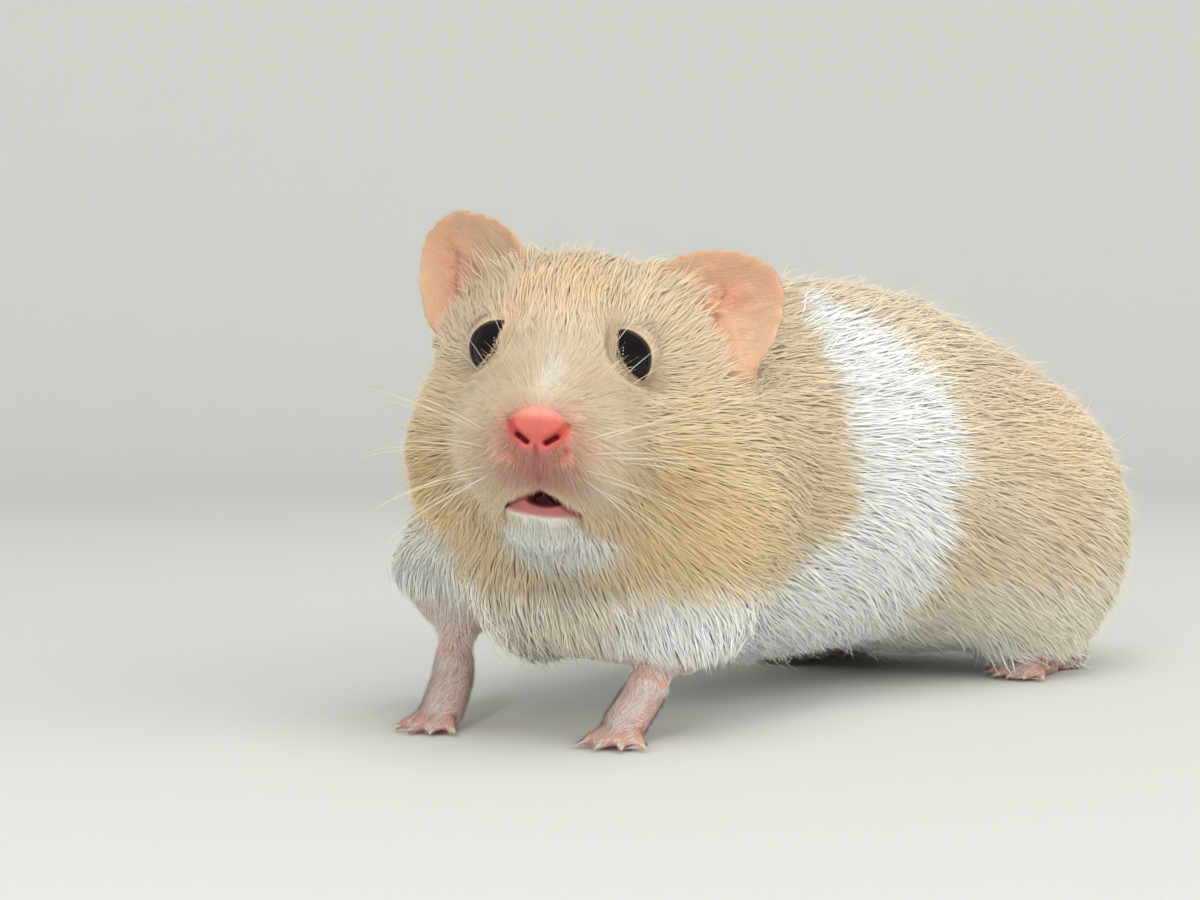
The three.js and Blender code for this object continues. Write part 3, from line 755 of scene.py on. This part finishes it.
class Skin:
    """The skin's shape as arrays, for finding roots and laying tufts along it."""

    def __init__(self, shell):
        self.points = points_of(shell)
        self.triangles = triangles_of(shell)
        self.normals = normals_of(self.points, self.triangles)
        self.local = in_head(self.points)
        self.parts = part_shares(shell)
        self.tree = BVHTree.FromPolygons(self.points.tolist(), self.triangles.tolist())
        loops = np.empty(len(self.triangles) * 3, np.int32)
        shell.data.loop_triangles.foreach_get("loops", loops)
        flat = np.empty(len(shell.data.loops) * 2, np.float32)
        shell.data.uv_layers["OFBake"].data.foreach_get("uv", flat)
        self.map = flat.reshape(-1, 2)[loops].reshape(-1, 3, 2)

    def at(self, face, weights, values):
        corner = values[self.triangles[face]]
        return (corner * weights.reshape(weights.shape + (1,) * (corner.ndim - 2))).sum(1)

    def way_out(self, points):
        return unit(self.nearest(points)[1])

    def nearest(self, points):
        """The nearest point of the skin and its way out, for each of points."""
        found = [self.tree.find_nearest(p)[:2] for p in points.tolist()]
        place = np.array([f[0] for f in found])
        return place, np.array([f[1] for f in found])


def scattered(surface, count, short, rng):
    """Even random roots over the skin, as thick as coat_kind says, in the short coat or the long."""
    dense, length = coat_kind(surface.points, surface.local, surface.normals, surface.parts)[:2]
    dense = np.where((length < SHORT) == short, dense, 0)
    a, b, c = (surface.points[surface.triangles[:, i]] for i in range(3))
    area = np.linalg.norm(np.cross(b - a, c - a), axis=1) / 2
    share = area * dense[surface.triangles].mean(1)
    middle = np.floor((a + b + c) / 3 / 2.5).astype(int) + 64
    order = np.argsort((middle[:, 1] * 512 + middle[:, 0]) * 512 + middle[:, 2], kind="stable")
    total = np.cumsum(share[order])
    picks = (np.arange(count) + rng.random(count)) / count * total[-1]
    face = order[np.minimum(np.searchsorted(total, picks), len(order) - 1)]
    u, v = rng.random((2, count))
    over = u + v > 1
    u, v = np.where(over, 1 - u, u), np.where(over, 1 - v, v)
    return face, np.stack([1 - u - v, u, v], 1)


def laid(surface, roots, ways, length, rise, levels):
    """The middle line of each tuft, which climbs from its root and then lies along the skin."""
    line, last = [roots], None
    ground, way, steady = roots.copy(), ways.copy(), np.ones(len(roots))
    for k in range(1, levels + 1):
        share = k / levels
        place, out = surface.nearest(ground + way * (length / levels)[:, None])
        out = unit(out)
        steady = steady if last is None else np.minimum(steady, (out * last).sum(1))
        last = out
        way = unit(place - ground + way * 0.3)
        way = unit(way - (way * out).sum(1, keepdims=True) * out)
        if k == 1:
            steady = (surface.way_out(roots) * out).sum(1)
        ground = place
        height = length * rise * (share - 0.42 * share * share) / 0.58
        line.append(place + out * height[:, None])
    return np.stack(line, 1), steady


def cut_short(lines):
    """How much of each tuft may stay, so that none lies over an eye, the nose or the mouth."""
    keep = np.ones(len(lines))
    for s in np.linspace(1, 0.2, 9):
        k = s * (lines.shape[1] - 1)
        low = min(int(k), lines.shape[1] - 2)
        at = lines[:, low] + (lines[:, low + 1] - lines[:, low]) * (k - low)
        local = in_head(at)
        bad = lid_distance(local, 5.2, 1.5) < -0.3
        bad |= (nose_share(local) > 0.75) & (local[:, 1] < -15)
        bad |= (lip_share(local) > 0.93) & (local[:, 1] < -9)
        keep = np.where(bad, np.minimum(keep, s * 0.85), keep)
    return keep


def locks(lines, leaders, pull, rng):
    """Draws the tips of neighbouring tufts together into soft locks."""
    chosen = rng.choice(len(lines), leaders, replace=False)
    tree = KDTree(leaders)
    for i, n in enumerate(chosen):
        tree.insert(lines[n, 0], i)
    tree.balance()
    leader = chosen[[tree.find(p)[1] for p in lines[:, 0]]]
    share = np.linspace(0, 1, lines.shape[1]) ** 1.3
    return lines + (lines[leader] - lines) * share[None, :, None] * pull[:, None, None]


SECTION = np.array([[-0.5, -0.06], [0.5, -0.06], [0.0, 0.14]])


def tuft_mesh(name, lines, widths, outs, shades, places, tips):
    """Three-sided tapering tufts along the lines, as one mesh with its colours, map and soft normals."""
    count, rings = len(lines), lines.shape[1] - 1
    levels = np.arange(rings + 1) / rings
    taper = np.interp(levels, [0, 0.35, 0.7, 1], [0.8, 1, 0.75, 0])
    along = unit((lines[:, 1:] - lines[:, :-1]).reshape(-1, 3)).reshape(count, rings, 3)
    along = np.concatenate([along, along[:, -1:]], 1)
    out = np.repeat(outs[:, None], rings + 1, 1)
    side = np.cross(along, out)
    side /= np.maximum(np.linalg.norm(side, axis=2, keepdims=True), 1e-9)
    rise = np.cross(side, along)
    spread = widths[:, None] * taper[None]
    points, normals, across, share = [], [], [], []
    for k in range(rings):
        for u, v in SECTION:
            points.append(lines[:, k] + (side[:, k] * u + rise[:, k] * v) * spread[:, k, None])
            normals.append(side[:, k] * u * 0.3 + rise[:, k] * 0.2 + out[:, k])
            across.append(u + 0.5)
            share.append(levels[k])
    points.append(lines[:, rings])
    normals.append(along[:, rings] * 0.15 + out[:, rings])
    across.append(0.5)
    share.append(1)
    per = len(points)
    points = np.stack(points, 1).reshape(-1, 3)
    normals = unit(np.stack(normals, 1).reshape(-1, 3))
    across, share = np.array(across), np.array(share)
    faces = [(0, 2, 1)]
    for k in range(rings - 1):
        for a, b in ((0, 1), (1, 2), (2, 0)):
            p, q = 3 * k, 3 * k + 3
            faces += [(p + a, p + b, q + b), (p + a, q + b, q + a)]
    p = 3 * (rings - 1)
    faces += [(p + a, p + b, per - 1) for a, b in ((0, 1), (1, 2), (2, 0))]
    faces = np.array(faces)[:, ::-1]
    every = (faces[None] + (np.arange(count) * per)[:, None, None]).reshape(-1, 3)
    mesh = bpy.data.meshes.new(name)
    mesh.vertices.add(len(points))
    mesh.vertices.foreach_set("co", (points * MM).astype(np.float32).ravel())
    mesh.loops.add(len(every) * 3)
    mesh.loops.foreach_set("vertex_index", every.astype(np.int32).ravel())
    mesh.polygons.add(len(every))
    mesh.polygons.foreach_set("loop_start", np.arange(0, len(every) * 3, 3, dtype=np.int32))
    mesh.update(calc_edges=True)
    mesh.polygons.foreach_set("use_smooth", np.ones(len(every), bool))
    colour = shades[:, None] * (1 - share[None, :, None]) + tips[:, None] * share[None, :, None]
    colour = np.concatenate([colour, np.ones((count, per, 1))], 2)
    layer = mesh.color_attributes.new("coat_colour", "FLOAT_COLOR", "POINT")
    layer.data.foreach_set("color", colour.astype(np.float32).ravel())
    spot = places[:, None] + PATCH * (np.stack([across, share], 1) - 0.5)[None]
    spot = np.clip(spot.reshape(-1, 2), 0, 1)
    uv = mesh.uv_layers.new(name="OFBake")
    uv.data.foreach_set("uv", spot[every.ravel()].astype(np.float32).ravel())
    mesh.validate()
    mesh.normals_split_custom_set_from_vertices(normals)
    made = bpy.data.objects.new(name, mesh)
    bpy.context.collection.objects.link(made)
    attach(made, "root")
    return made


# ---------- Colour of the bare skin ----------


# Tints of the nose's left half: the rim of the nostril, the wing and the groove below it, each with
# two ends across and up, width, colour and amount.
NOSE_TINTS = (
    (((0.9, -6.3), (2.9, -5.0)), 0.75, linear(206, 78, 76), 0.55),
    (((2.4, -5.3), (3.4, -4.0)), 0.5, linear(178, 58, 54), 0.7),
    (((1.2, -7.9), (3.2, -6.4)), 0.6, linear(176, 84, 86), 0.6),
)


def skin_colours(points, local, parts):
    """The skin's colour under the coat and where it is bare, and how moist it is."""
    y, z = local[:, 1], local[:, 2]
    base = coat_colours(points, local) * 0.92
    pink = mix(base, FLUSH, flush_share(local) * 0.85)
    ears = np.maximum(np.clip(parts["ear"] * 1.5, 0, 1), ear_zone(local) * 0.85)
    blotch = smooth(drift(points, 5, 31), -0.6, 1.2)
    ear = mix(np.tile(EAR, (len(points), 1)), EAR_PINK, blotch * 0.3)
    for e, q, mine in ear_places(local):
        for across, along, wide, tall, amount in e["warm"]:
            glow = np.exp(-(((q[:, 0] - across) / wide) ** 2) - ((q[:, 2] - along) / tall) ** 2)
            ear = mix(ear, EAR_PINK, glow * mine * amount * smooth(q[:, 1], 0, -0.6))
        edge = smooth(np.hypot(q[:, 0] / 8.1, (q[:, 2] - 4.4) / 9), 0.84, 1.02)
        ear = mix(ear, linear(206, 156, 118), edge * mine * 0.7)
        # Painted shade: the ear's crease darkened as if its groove shadowed it.
        crease_shade = groove(q, e["crease"], 0.36) * smooth(q[:, 1], 0, -0.6) * mine
        ear = mix(ear, linear(150, 88, 62), smooth(crease_shade, 0.3, 0.9) * 0.65)
    colour = mix(pink, ear, ears)
    paws = np.clip(parts["paw"] * 1.6, 0, 1)
    paw = mix(np.tile(PAW, (len(points), 1)), linear(210, 158, 140), smooth(drift(points, 3, 33), -0.5, 1))
    colour = mix(colour, paw, np.maximum(paws, bared_share(points, parts)))
    colour = mix(colour, PAW, np.clip(parts["tail"], 0, 1) * 0.7)
    nose = nose_share(local)
    colour = mix(colour, NOSE, nose)
    colour = mix(colour, linear(214, 96, 84), nose * smooth(drift(points, 1.3, 35), 0.2, 1.2) * 0.4)
    colour = mix(colour, linear(240, 178, 160), nose * smooth(z, -4.2, -2.6) * 0.7)
    lip = lip_share(local)
    colour = mix(colour, LIP, lip)
    wet = np.clip(nose * 0.6 + lip, 0, 1)
    flat = local - np.array([NOSE_X, 0, 0])
    front = smooth(y, -13, -15)
    for side in (-1, 1):
        lobe = bump(flat, (side * 1.0, -21, -6.9), (0.9, 6, 0.55))
        colour = mix(colour, linear(232, 142, 138), lobe * front * 0.7)
        for (near, far), width, tint, amount in NOSE_TINTS:
            line = groove(flat, ((side * near[0], near[1]), (side * far[0], far[1])), width)
            colour = mix(colour, tint, line * front * amount)
        # Each nostril slit painted dark: its own deep red, darkened further as painted shade in the opening.
        slit = groove(flat, ((side * 1.05, -6.2), (side * 2.1, -5.5)), 0.34)
        colour = mix(colour, NOSTRIL * 0.8, smooth(slit, 0.3, 0.8) * front)
    philtrum = groove(flat, ((0, -6.9), (0, -9.8)), 0.3)
    colour = mix(colour, linear(170, 84, 84), philtrum * front * 0.8)
    under = np.exp(-((flat[:, 0] / 2.4) ** 2) - ((z + 8.5) / 1.3) ** 2)
    colour = mix(colour, linear(176, 96, 98), under * front * 0.8)
    # The open mouth painted near black: its own dark red, darkened as painted shade inside the gap.
    gap = smooth(z, mouth_line(flat[:, 0]) + 0.05, mouth_line(flat[:, 0]) - 0.25)
    gap *= smooth(z, -12.9 + 0.1 * flat[:, 0] ** 2, -12.3 + 0.1 * flat[:, 0] ** 2) * smooth(y, -9, -11)
    gap *= smooth(np.abs(flat[:, 0] - 0.4), 2.6, 1.2)
    colour = mix(colour, MOUTH * 0.6, gap)
    rim = smooth(lid_distance(local), 0.5, 0.15)
    colour = mix(colour, LID, rim)
    wet = np.clip(wet + rim * 0.8, 0, 1)
    return np.clip(colour, 0, 1), wet


def paint_skin(shell):
    points = points_of(shell)
    local = in_head(points)
    colour, wet = skin_colours(points, local, part_shares(shell))
    layer = shell.data.color_attributes.new("skin_colour", "FLOAT_COLOR", "POINT")
    layer.data.foreach_set("color", np.concatenate([colour, wet[:, None]], 1).astype(np.float32).ravel())


# ---------- Making the skin ----------

skin = flesh_shell()
under_the_coat(skin)
thinned(skin, BODY_KEPT)
unwrap(skin)
refine(skin, on_face)
refine(skin, lambda p: on_eyes(p) | on_snout(p))
shape_face(skin)
choose(skin)
bpy.ops.object.shade_smooth()
paint_skin(skin)
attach(skin, "root")
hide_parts(*FLESH)

# ---------- Eyes ----------


def eyeball(side):
    bpy.ops.mesh.primitive_uv_sphere_add(segments=48, ring_count=32, radius=EYE_RADIUS * MM)
    ball = bpy.context.object
    ball.name = ball.data.name = "eye_ball_" + side
    bpy.ops.object.shade_smooth()
    points = points_of(ball) @ HEAD_TURN.T + from_head(EYES[side])
    set_points(ball, points)
    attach(ball, "root")
    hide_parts("eye_" + side)
    return ball


deselect()
eyes = [eyeball(side) for side in ("left", "right")]

# ---------- Making the coat ----------


def grow_coat(surface, count, short, rng):
    """The short coat is straight tufts; the long coat bends once and gathers into soft locks."""
    levels = 1 if short else 2
    face, weights = scattered(surface, count, short, rng)
    roots = surface.at(face, weights, surface.points)
    normals = unit(surface.at(face, weights, surface.normals))
    parts = {key: surface.at(face, weights, value) for key, value in surface.parts.items()}
    places = (surface.map[face] * weights[:, :, None]).sum(1)
    local = in_head(roots)
    _, length, width, rise = coat_kind(roots, local, normals, parts)
    length *= np.clip(rng.normal(1, 0.16, count), 0.6, 1.5)
    rise *= np.clip(rng.normal(1, 0.22, count), 0.4, 1.7)
    width *= rng.uniform(0.75, 1.2, count)
    stray = rng.random(count) < 0.04
    length *= np.where(stray, 1.05, 1)
    rise *= np.where(stray, 1.7, 1)
    width *= np.where(stray, 0.5, 1)
    ways = lie(roots, local, normals, parts)
    across = np.cross(normals, ways)
    turn = rng.normal(0, 0.15, count) + np.where(stray, rng.normal(0, 0.25, count), 0)
    ways = unit(ways * np.cos(turn)[:, None] + across * np.sin(turn)[:, None])
    shade = coat_colours(roots, local)
    hairy = bared_share(roots, parts)
    shade = mix(shade, linear(244, 226, 214), hairy * 0.7)
    pale = np.clip(rng.normal(1, 0.1 if short else 0.045, (count, 1)), 0.8, 1.15)
    shade = shade * pale
    shade[:, 2] *= rng.normal(1, 0.03, count)
    lines, steady = laid(surface, roots, ways, length, rise, levels)
    near = np.flatnonzero(local[:, 1] < 4)
    keep = np.ones(count)
    keep[near] = cut_short(lines[near])
    redo = np.flatnonzero(keep < 0.99)
    lines[redo] = laid(surface, roots[redo], ways[redo], length[redo] * keep[redo], rise[redo], levels)[0]
    if not short:
        pull = np.where(stray, 0, rng.uniform(0.05, 0.5, count)) * smooth(length, 1, 6) * (keep > 0.99)
        lines = locks(lines, count // 14, pull, rng)
    lines[:, 0] -= normals * 0.1
    lines[:, :, 2] = np.maximum(lines[:, :, 2], 0.15)
    stays = (keep > 0.3) & (steady > 0)
    white = coat_slot(roots, local) & (not short)
    made = []
    cream_label = "down" if short else "coat_cream"
    for label, slot, mine in ((cream_label, "coat_cream", ~white), ("coat_white", "coat_white", white)):
        mine = np.flatnonzero(mine & stays)
        mine = mine[np.argsort(roots[mine, 1])]
        faces = 6 * levels - 2
        pieces = math.ceil(len(mine) * faces / PIECE_LIMIT)
        for n, part in enumerate(np.array_split(mine, pieces) if pieces else ()):
            piece = tuft_mesh(f"{label}_{n + 1}", lines[part], width[part], normals[part], shade[part] * 0.95,
                              places[part], np.minimum(shade[part] * 1.05, 0.97))
            made.append(piece)
    return made


def coat_slot(roots, local):
    """Whether each root is in the white coat: band, shoulders and belly."""
    return (whiteness(roots) > 0.5) & (head_share(local) < 0.5)


part = 1
shape = Skin(skin)
dice = np.random.default_rng(7)
coats = grow_coat(shape, int(SHORT_TUFTS * part), True, dice)
coats += grow_coat(shape, int(LONG_TUFTS * part), False, dice)

# ---------- Whiskers ----------


def hair(start, way, length, bend, levels=7):
    """A stiff hair from a point of the head's frame, bending as it goes."""
    line = [np.array(start, float)]
    way = np.array(way, float)
    for _ in range(levels):
        way = way / np.linalg.norm(way)
        line.append(line[-1] + way * length / levels)
        way = way + np.array(bend, float) / levels
    return np.array(line)


# Hairs about the left eye: root and way in the head's frame, and length. The right side mirrors them.
BROW_HAIRS = (
    ((7.2, -12.6, 1.6), (0.62, 0.2, 0.8), 8.5), ((8.4, -12.2, 1.2), (0.75, 0.3, 0.72), 8.0),
    ((6.0, -12.4, 6.0), (0.5, 0.1, 0.9), 6.5), ((6.2, -9.4, 9.2), (0.5, -0.2, 0.9), 9.0),
)


def whisker_lines():
    rng = np.random.default_rng(23)
    lines, widths = [], []
    for side in (-1, 1):
        for row in range(4):
            for column in range(4):
                start = (NOSE_X + side * (4.4 + 0.75 * column), -18.4 + 1.5 * column, -5.6 - 1.35 * row)
                lift = 0.42 - 0.3 * row + rng.normal(0, 0.06)
                way = (side * (0.95 + 0.1 * column), -0.1 + 0.26 * column, lift)
                length = (11 + 4.2 * column) * rng.uniform(0.85, 1.1)
                lines.append(hair(start, way, length, (-side * 0.1, 0.45, -0.25 - 0.05 * row)))
                widths.append(0.075)
        for start, way, length in BROW_HAIRS:
            start, way = np.array(start), np.array(way)
            start[0] *= side
            way[0] *= side
            lines.append(hair(start, way, length, (side * 0.1, 0.35, -0.1)))
            widths.append(0.05)
    return np.array(lines), np.array(widths)


def whiskers():
    surface = BVHTree.FromPolygons(points_of(skin).tolist(), triangles_of(skin).tolist())
    lines, widths = whisker_lines()
    placed = []
    for line in lines:
        world = from_head(line)
        root = np.array(surface.find_nearest(world[0].tolist())[0])
        placed.append(world - world[0] + root)
    placed = np.array(placed)
    outs = unit(placed[:, 0] - (HEAD_CENTRE + HEAD_TURN @ np.array([0, -6, 0])))
    shade = np.tile(linear(246, 238, 218), (len(placed), 1))
    made = tuft_mesh("whiskers", placed, widths, outs, shade * 0.96, np.full((len(placed), 2), 0.5), shade)
    return made


whisker_piece = whiskers()

# ---------- Claws ----------

# Each foot's ball in the frame's millimetres, the way it points, and its toes.
FEET = {
    "fore_left": ((6.2, -48.28), 20, (-44, -15, 14, 42), 5),
    "fore_right": ((-18.4, -52.48), 14, (-44, -15, 14, 42), 5),
    "hind_left": ((21.6, 34.02), -4, (-42, -20, 0, 20, 42), 6),
    "hind_right": ((-15.4, 28.32), -20, (-42, -20, 0, 20, 42), 6),
}


def claw_lines():
    lines = []
    for (x, y), heading, spread, length in FEET.values():
        for turn in spread:
            way = math.radians(heading + turn)
            reach = np.linspace(length - 0.7, length + 1.5, 5)
            height = 1.15 - 0.75 * np.linspace(0, 1, 5) ** 1.8
            lines.append(np.stack([x + math.sin(way) * reach, y - math.cos(way) * reach, height], 1))
    return np.array(lines)


def claws():
    lines = claw_lines()
    outs = np.tile([0.0, 0.0, 1.0], (len(lines), 1))
    shade = np.tile(linear(236, 214, 196), (len(lines), 1))
    made = tuft_mesh("claws", lines, np.full(len(lines), 0.75), outs, shade * 0.9,
                     np.full((len(lines), 2), 0.5), np.tile(linear(246, 236, 222), (len(lines), 1)))
    return made


claw_piece = claws()

# ---------- Finishes ----------


def fine_tone_group():
    """Small changes of tone, roughness and height over a surface, from soft noise and tiny cells."""
    group = bpy.data.node_groups.new("fine_tone", "ShaderNodeTree")
    face = group.interface
    face.new_socket("Colour", in_out="INPUT", socket_type="NodeSocketColor")
    for name, value in (("Scale", 900), ("Tone", 0.08), ("Roughness", 0.6), ("Roughness change", 0.1)):
        face.new_socket(name, in_out="INPUT", socket_type="NodeSocketFloat").default_value = value
    face.new_socket("Colour", in_out="OUTPUT", socket_type="NodeSocketColor")
    face.new_socket("Roughness", in_out="OUTPUT", socket_type="NodeSocketFloat")
    face.new_socket("Height", in_out="OUTPUT", socket_type="NodeSocketFloat")
    nodes, links = group.nodes, group.links
    given = nodes.new("NodeGroupInput")
    result = nodes.new("NodeGroupOutput")
    place = nodes.new("ShaderNodeTexCoord")
    soft = nodes.new("ShaderNodeTexNoise")
    soft.inputs["Detail"].default_value = 3
    cells = nodes.new("ShaderNodeTexVoronoi")
    links.new(place.outputs["Object"], soft.inputs["Vector"])
    links.new(place.outputs["Object"], cells.inputs["Vector"])
    links.new(given.outputs["Scale"], soft.inputs["Scale"])
    double = nodes.new("ShaderNodeMath")
    double.operation = "MULTIPLY"
    double.inputs[1].default_value = 3.1
    links.new(given.outputs["Scale"], double.inputs[0])
    links.new(double.outputs[0], cells.inputs["Scale"])

    def maths(operation, a, b):
        node = nodes.new("ShaderNodeMath")
        node.operation = operation
        for socket, value in zip(node.inputs, (a, b)):
            if isinstance(value, (int, float)):
                socket.default_value = value
            else:
                links.new(value, socket)
        return node.outputs[0]

    centred = maths("SUBTRACT", soft.outputs["Fac"], 0.5)
    tone = maths("ADD", maths("MULTIPLY", maths("MULTIPLY", centred, 3.0), given.outputs["Tone"]), 1.0)
    scaled = nodes.new("ShaderNodeVectorMath")
    scaled.operation = "SCALE"
    links.new(given.outputs["Colour"], scaled.inputs[0])
    links.new(tone, scaled.inputs["Scale"])
    links.new(scaled.outputs["Vector"], result.inputs["Colour"])
    change = maths("MULTIPLY", maths("MULTIPLY", centred, 3.0), given.outputs["Roughness change"])
    links.new(maths("ADD", given.outputs["Roughness"], change), result.inputs["Roughness"])
    height = maths("ADD", maths("MULTIPLY", cells.outputs["Distance"], 0.5), soft.outputs["Fac"])
    links.new(height, result.inputs["Height"])
    return group


FINE_TONE = fine_tone_group()


def finish_of(name, attribute, scale, tone, roughness, change, bump_depth):
    """A material that takes its colour from a mesh attribute through the fine tone group."""
    made = bpy.data.materials.new(name)
    made.use_nodes = True
    nodes, links = made.node_tree.nodes, made.node_tree.links
    shader = nodes["Principled BSDF"]
    colour = nodes.new("ShaderNodeAttribute")
    colour.attribute_name = attribute
    tones = nodes.new("ShaderNodeGroup")
    tones.node_tree = FINE_TONE
    amounts = (("Scale", scale), ("Tone", tone), ("Roughness", roughness), ("Roughness change", change))
    for key, value in amounts:
        tones.inputs[key].default_value = value
    links.new(colour.outputs["Color"], tones.inputs["Colour"])
    links.new(tones.outputs["Colour"], shader.inputs["Base Color"])
    links.new(tones.outputs["Roughness"], shader.inputs["Roughness"])
    if bump_depth:
        bump_node = nodes.new("ShaderNodeBump")
        bump_node.inputs["Strength"].default_value = 0.46
        bump_node.inputs["Distance"].default_value = bump_depth * MM
        links.new(tones.outputs["Height"], bump_node.inputs["Height"])
        links.new(bump_node.outputs["Normal"], shader.inputs["Normal"])
    return made


skin_finish = finish_of("skin_finish", "skin_colour", 700, 0.07, 0.55, 0.12, 0.12)
shader = skin_finish.node_tree.nodes["Principled BSDF"]
shader.inputs["Subsurface Weight"].default_value = 0.35
shader.inputs["Subsurface Radius"].default_value = (1.0, 0.4, 0.25)
shader.inputs["Subsurface Scale"].default_value = 1.1 * MM
skin.data.materials.append(skin_finish)

coat_finish = finish_of("coat_finish", "coat_colour", 420, 0.05, 0.7, 0.08, 0)
shader = coat_finish.node_tree.nodes["Principled BSDF"]
shader.inputs["Specular IOR Level"].default_value = 0.25
shader.inputs["Sheen Weight"].default_value = 0.25
shader.inputs["Sheen Roughness"].default_value = 0.5
for piece in [*coats, whisker_piece]:
    piece.data.materials.append(coat_finish)
claw_finish = finish_of("claw_finish", "coat_colour", 2600, 0.06, 0.3, 0.06, 0.02)
claw_piece.data.materials.append(claw_finish)

for ball in eyes:
    colours = ball.data.color_attributes.new("eye_colour", "FLOAT_COLOR", "POINT")
    inner = np.tile([0.006, 0.004, 0.004, 1.0], (len(ball.data.vertices), 1))
    colours.data.foreach_set("color", inner.astype(np.float32).ravel())
eye_finish = finish_of("eye_finish", "eye_colour", 500, 0.1, 0.04, 0.01, 0)
shader = eye_finish.node_tree.nodes["Principled BSDF"]
shader.inputs["IOR"].default_value = 1.376
shader.inputs["Specular IOR Level"].default_value = 0.35
for ball in eyes:
    ball.data.materials.append(eye_finish)

# ---------- Studio ----------


def plain_material(name, colour, roughness):
    made = bpy.data.materials.new(name)
    made.use_nodes = True
    shader = made.node_tree.nodes["Principled BSDF"]
    shader.inputs["Base Color"].default_value = (*colour, 1)
    shader.inputs["Roughness"].default_value = roughness
    return made


def sweep():
    """A round pale floor whose rim curves up into a wall."""
    profile = [(0.001, 0), (0.2, 0), (0.45, 0), (0.6, 0)]
    bend = np.linspace(0.15, math.pi / 2, 10)
    profile += [(0.6 + 0.3 * math.sin(t), 0.3 - 0.3 * math.cos(t)) for t in bend]
    profile += [(0.9, 0.8)]
    mesh = bpy.data.meshes.new("floor")
    steps = 96
    turn = 2 * math.pi / steps
    rings = [
        [(r * math.cos(turn * k), r * math.sin(turn * k), z) for k in range(steps)]
        for r, z in profile
    ]
    faces = []
    for i in range(len(profile) - 1):
        for k in range(steps):
            n = (k + 1) % steps
            faces.append((i * steps + k, i * steps + n, (i + 1) * steps + n, (i + 1) * steps + k))
    faces.append(tuple(reversed(range(steps))))
    mesh.from_pydata([p for ring in rings for p in ring], [], faces)
    mesh.update()
    made = bpy.data.objects.new("floor", mesh)
    bpy.context.collection.objects.link(made)
    return made


floor = sweep()
floor.data.materials.append(plain_material("paper", (0.72, 0.73, 0.7), 0.9))
choose(floor)
bpy.ops.object.shade_smooth()

world = bpy.data.worlds.new("studio")
bpy.context.scene.world = world
world.use_nodes = True
world.node_tree.nodes["Background"].inputs["Color"].default_value = (1.0, 0.99, 0.96, 1)
world.node_tree.nodes["Background"].inputs["Strength"].default_value = 0.46


def lamp(name, place, target, size, power, seen=False):
    """A round soft lamp; only the small ones are seen in the eyes."""
    data = bpy.data.lights.new(name, "AREA")
    data.shape = "DISK"
    data.size = size
    data.energy = power
    made = bpy.data.objects.new(name, data)
    bpy.context.collection.objects.link(made)
    made.location = place
    made.visible_glossy = seen
    made.rotation_euler = (Vector(target) - Vector(place)).to_track_quat("-Z", "Y").to_euler()
    return made


lamp("key", (0.8, 0.05, 0.32), (0, 0, 0.03), 0.9, 5.0)
lamp("fill", (0.15, -0.85, 0.09), (0, -0.03, 0.03), 0.8, 2.5)
lamp("side", (-0.7, -0.45, 0.15), (0, -0.03, 0.03), 0.7, 0.9)
lamp("back", (0.15, -0.1, 0.72), (-0.55, 0.75, 0.15), 0.6, 2.6)
for n in range(3):
    lamp(f"catch_{n + 1}", (0.1, -0.36, 0.1 + 0.09 * n), (0, -0.05, 0.045), 0.024, 0.1, seen=True)

camera = bpy.data.objects.new("camera", bpy.data.cameras.new("camera"))
bpy.context.collection.objects.link(camera)
camera.location = (0.142714, -0.240691, 0.042)
camera.rotation_euler = Vector((-0.58753, 0.80866, -0.02967)).to_track_quat("-Z", "Y").to_euler()
camera.data.lens = 60
camera.data.sensor_width = 36
camera.data.clip_start = 0.01
bpy.context.scene.camera = camera
bpy.context.scene.view_settings.view_transform = "Standard"
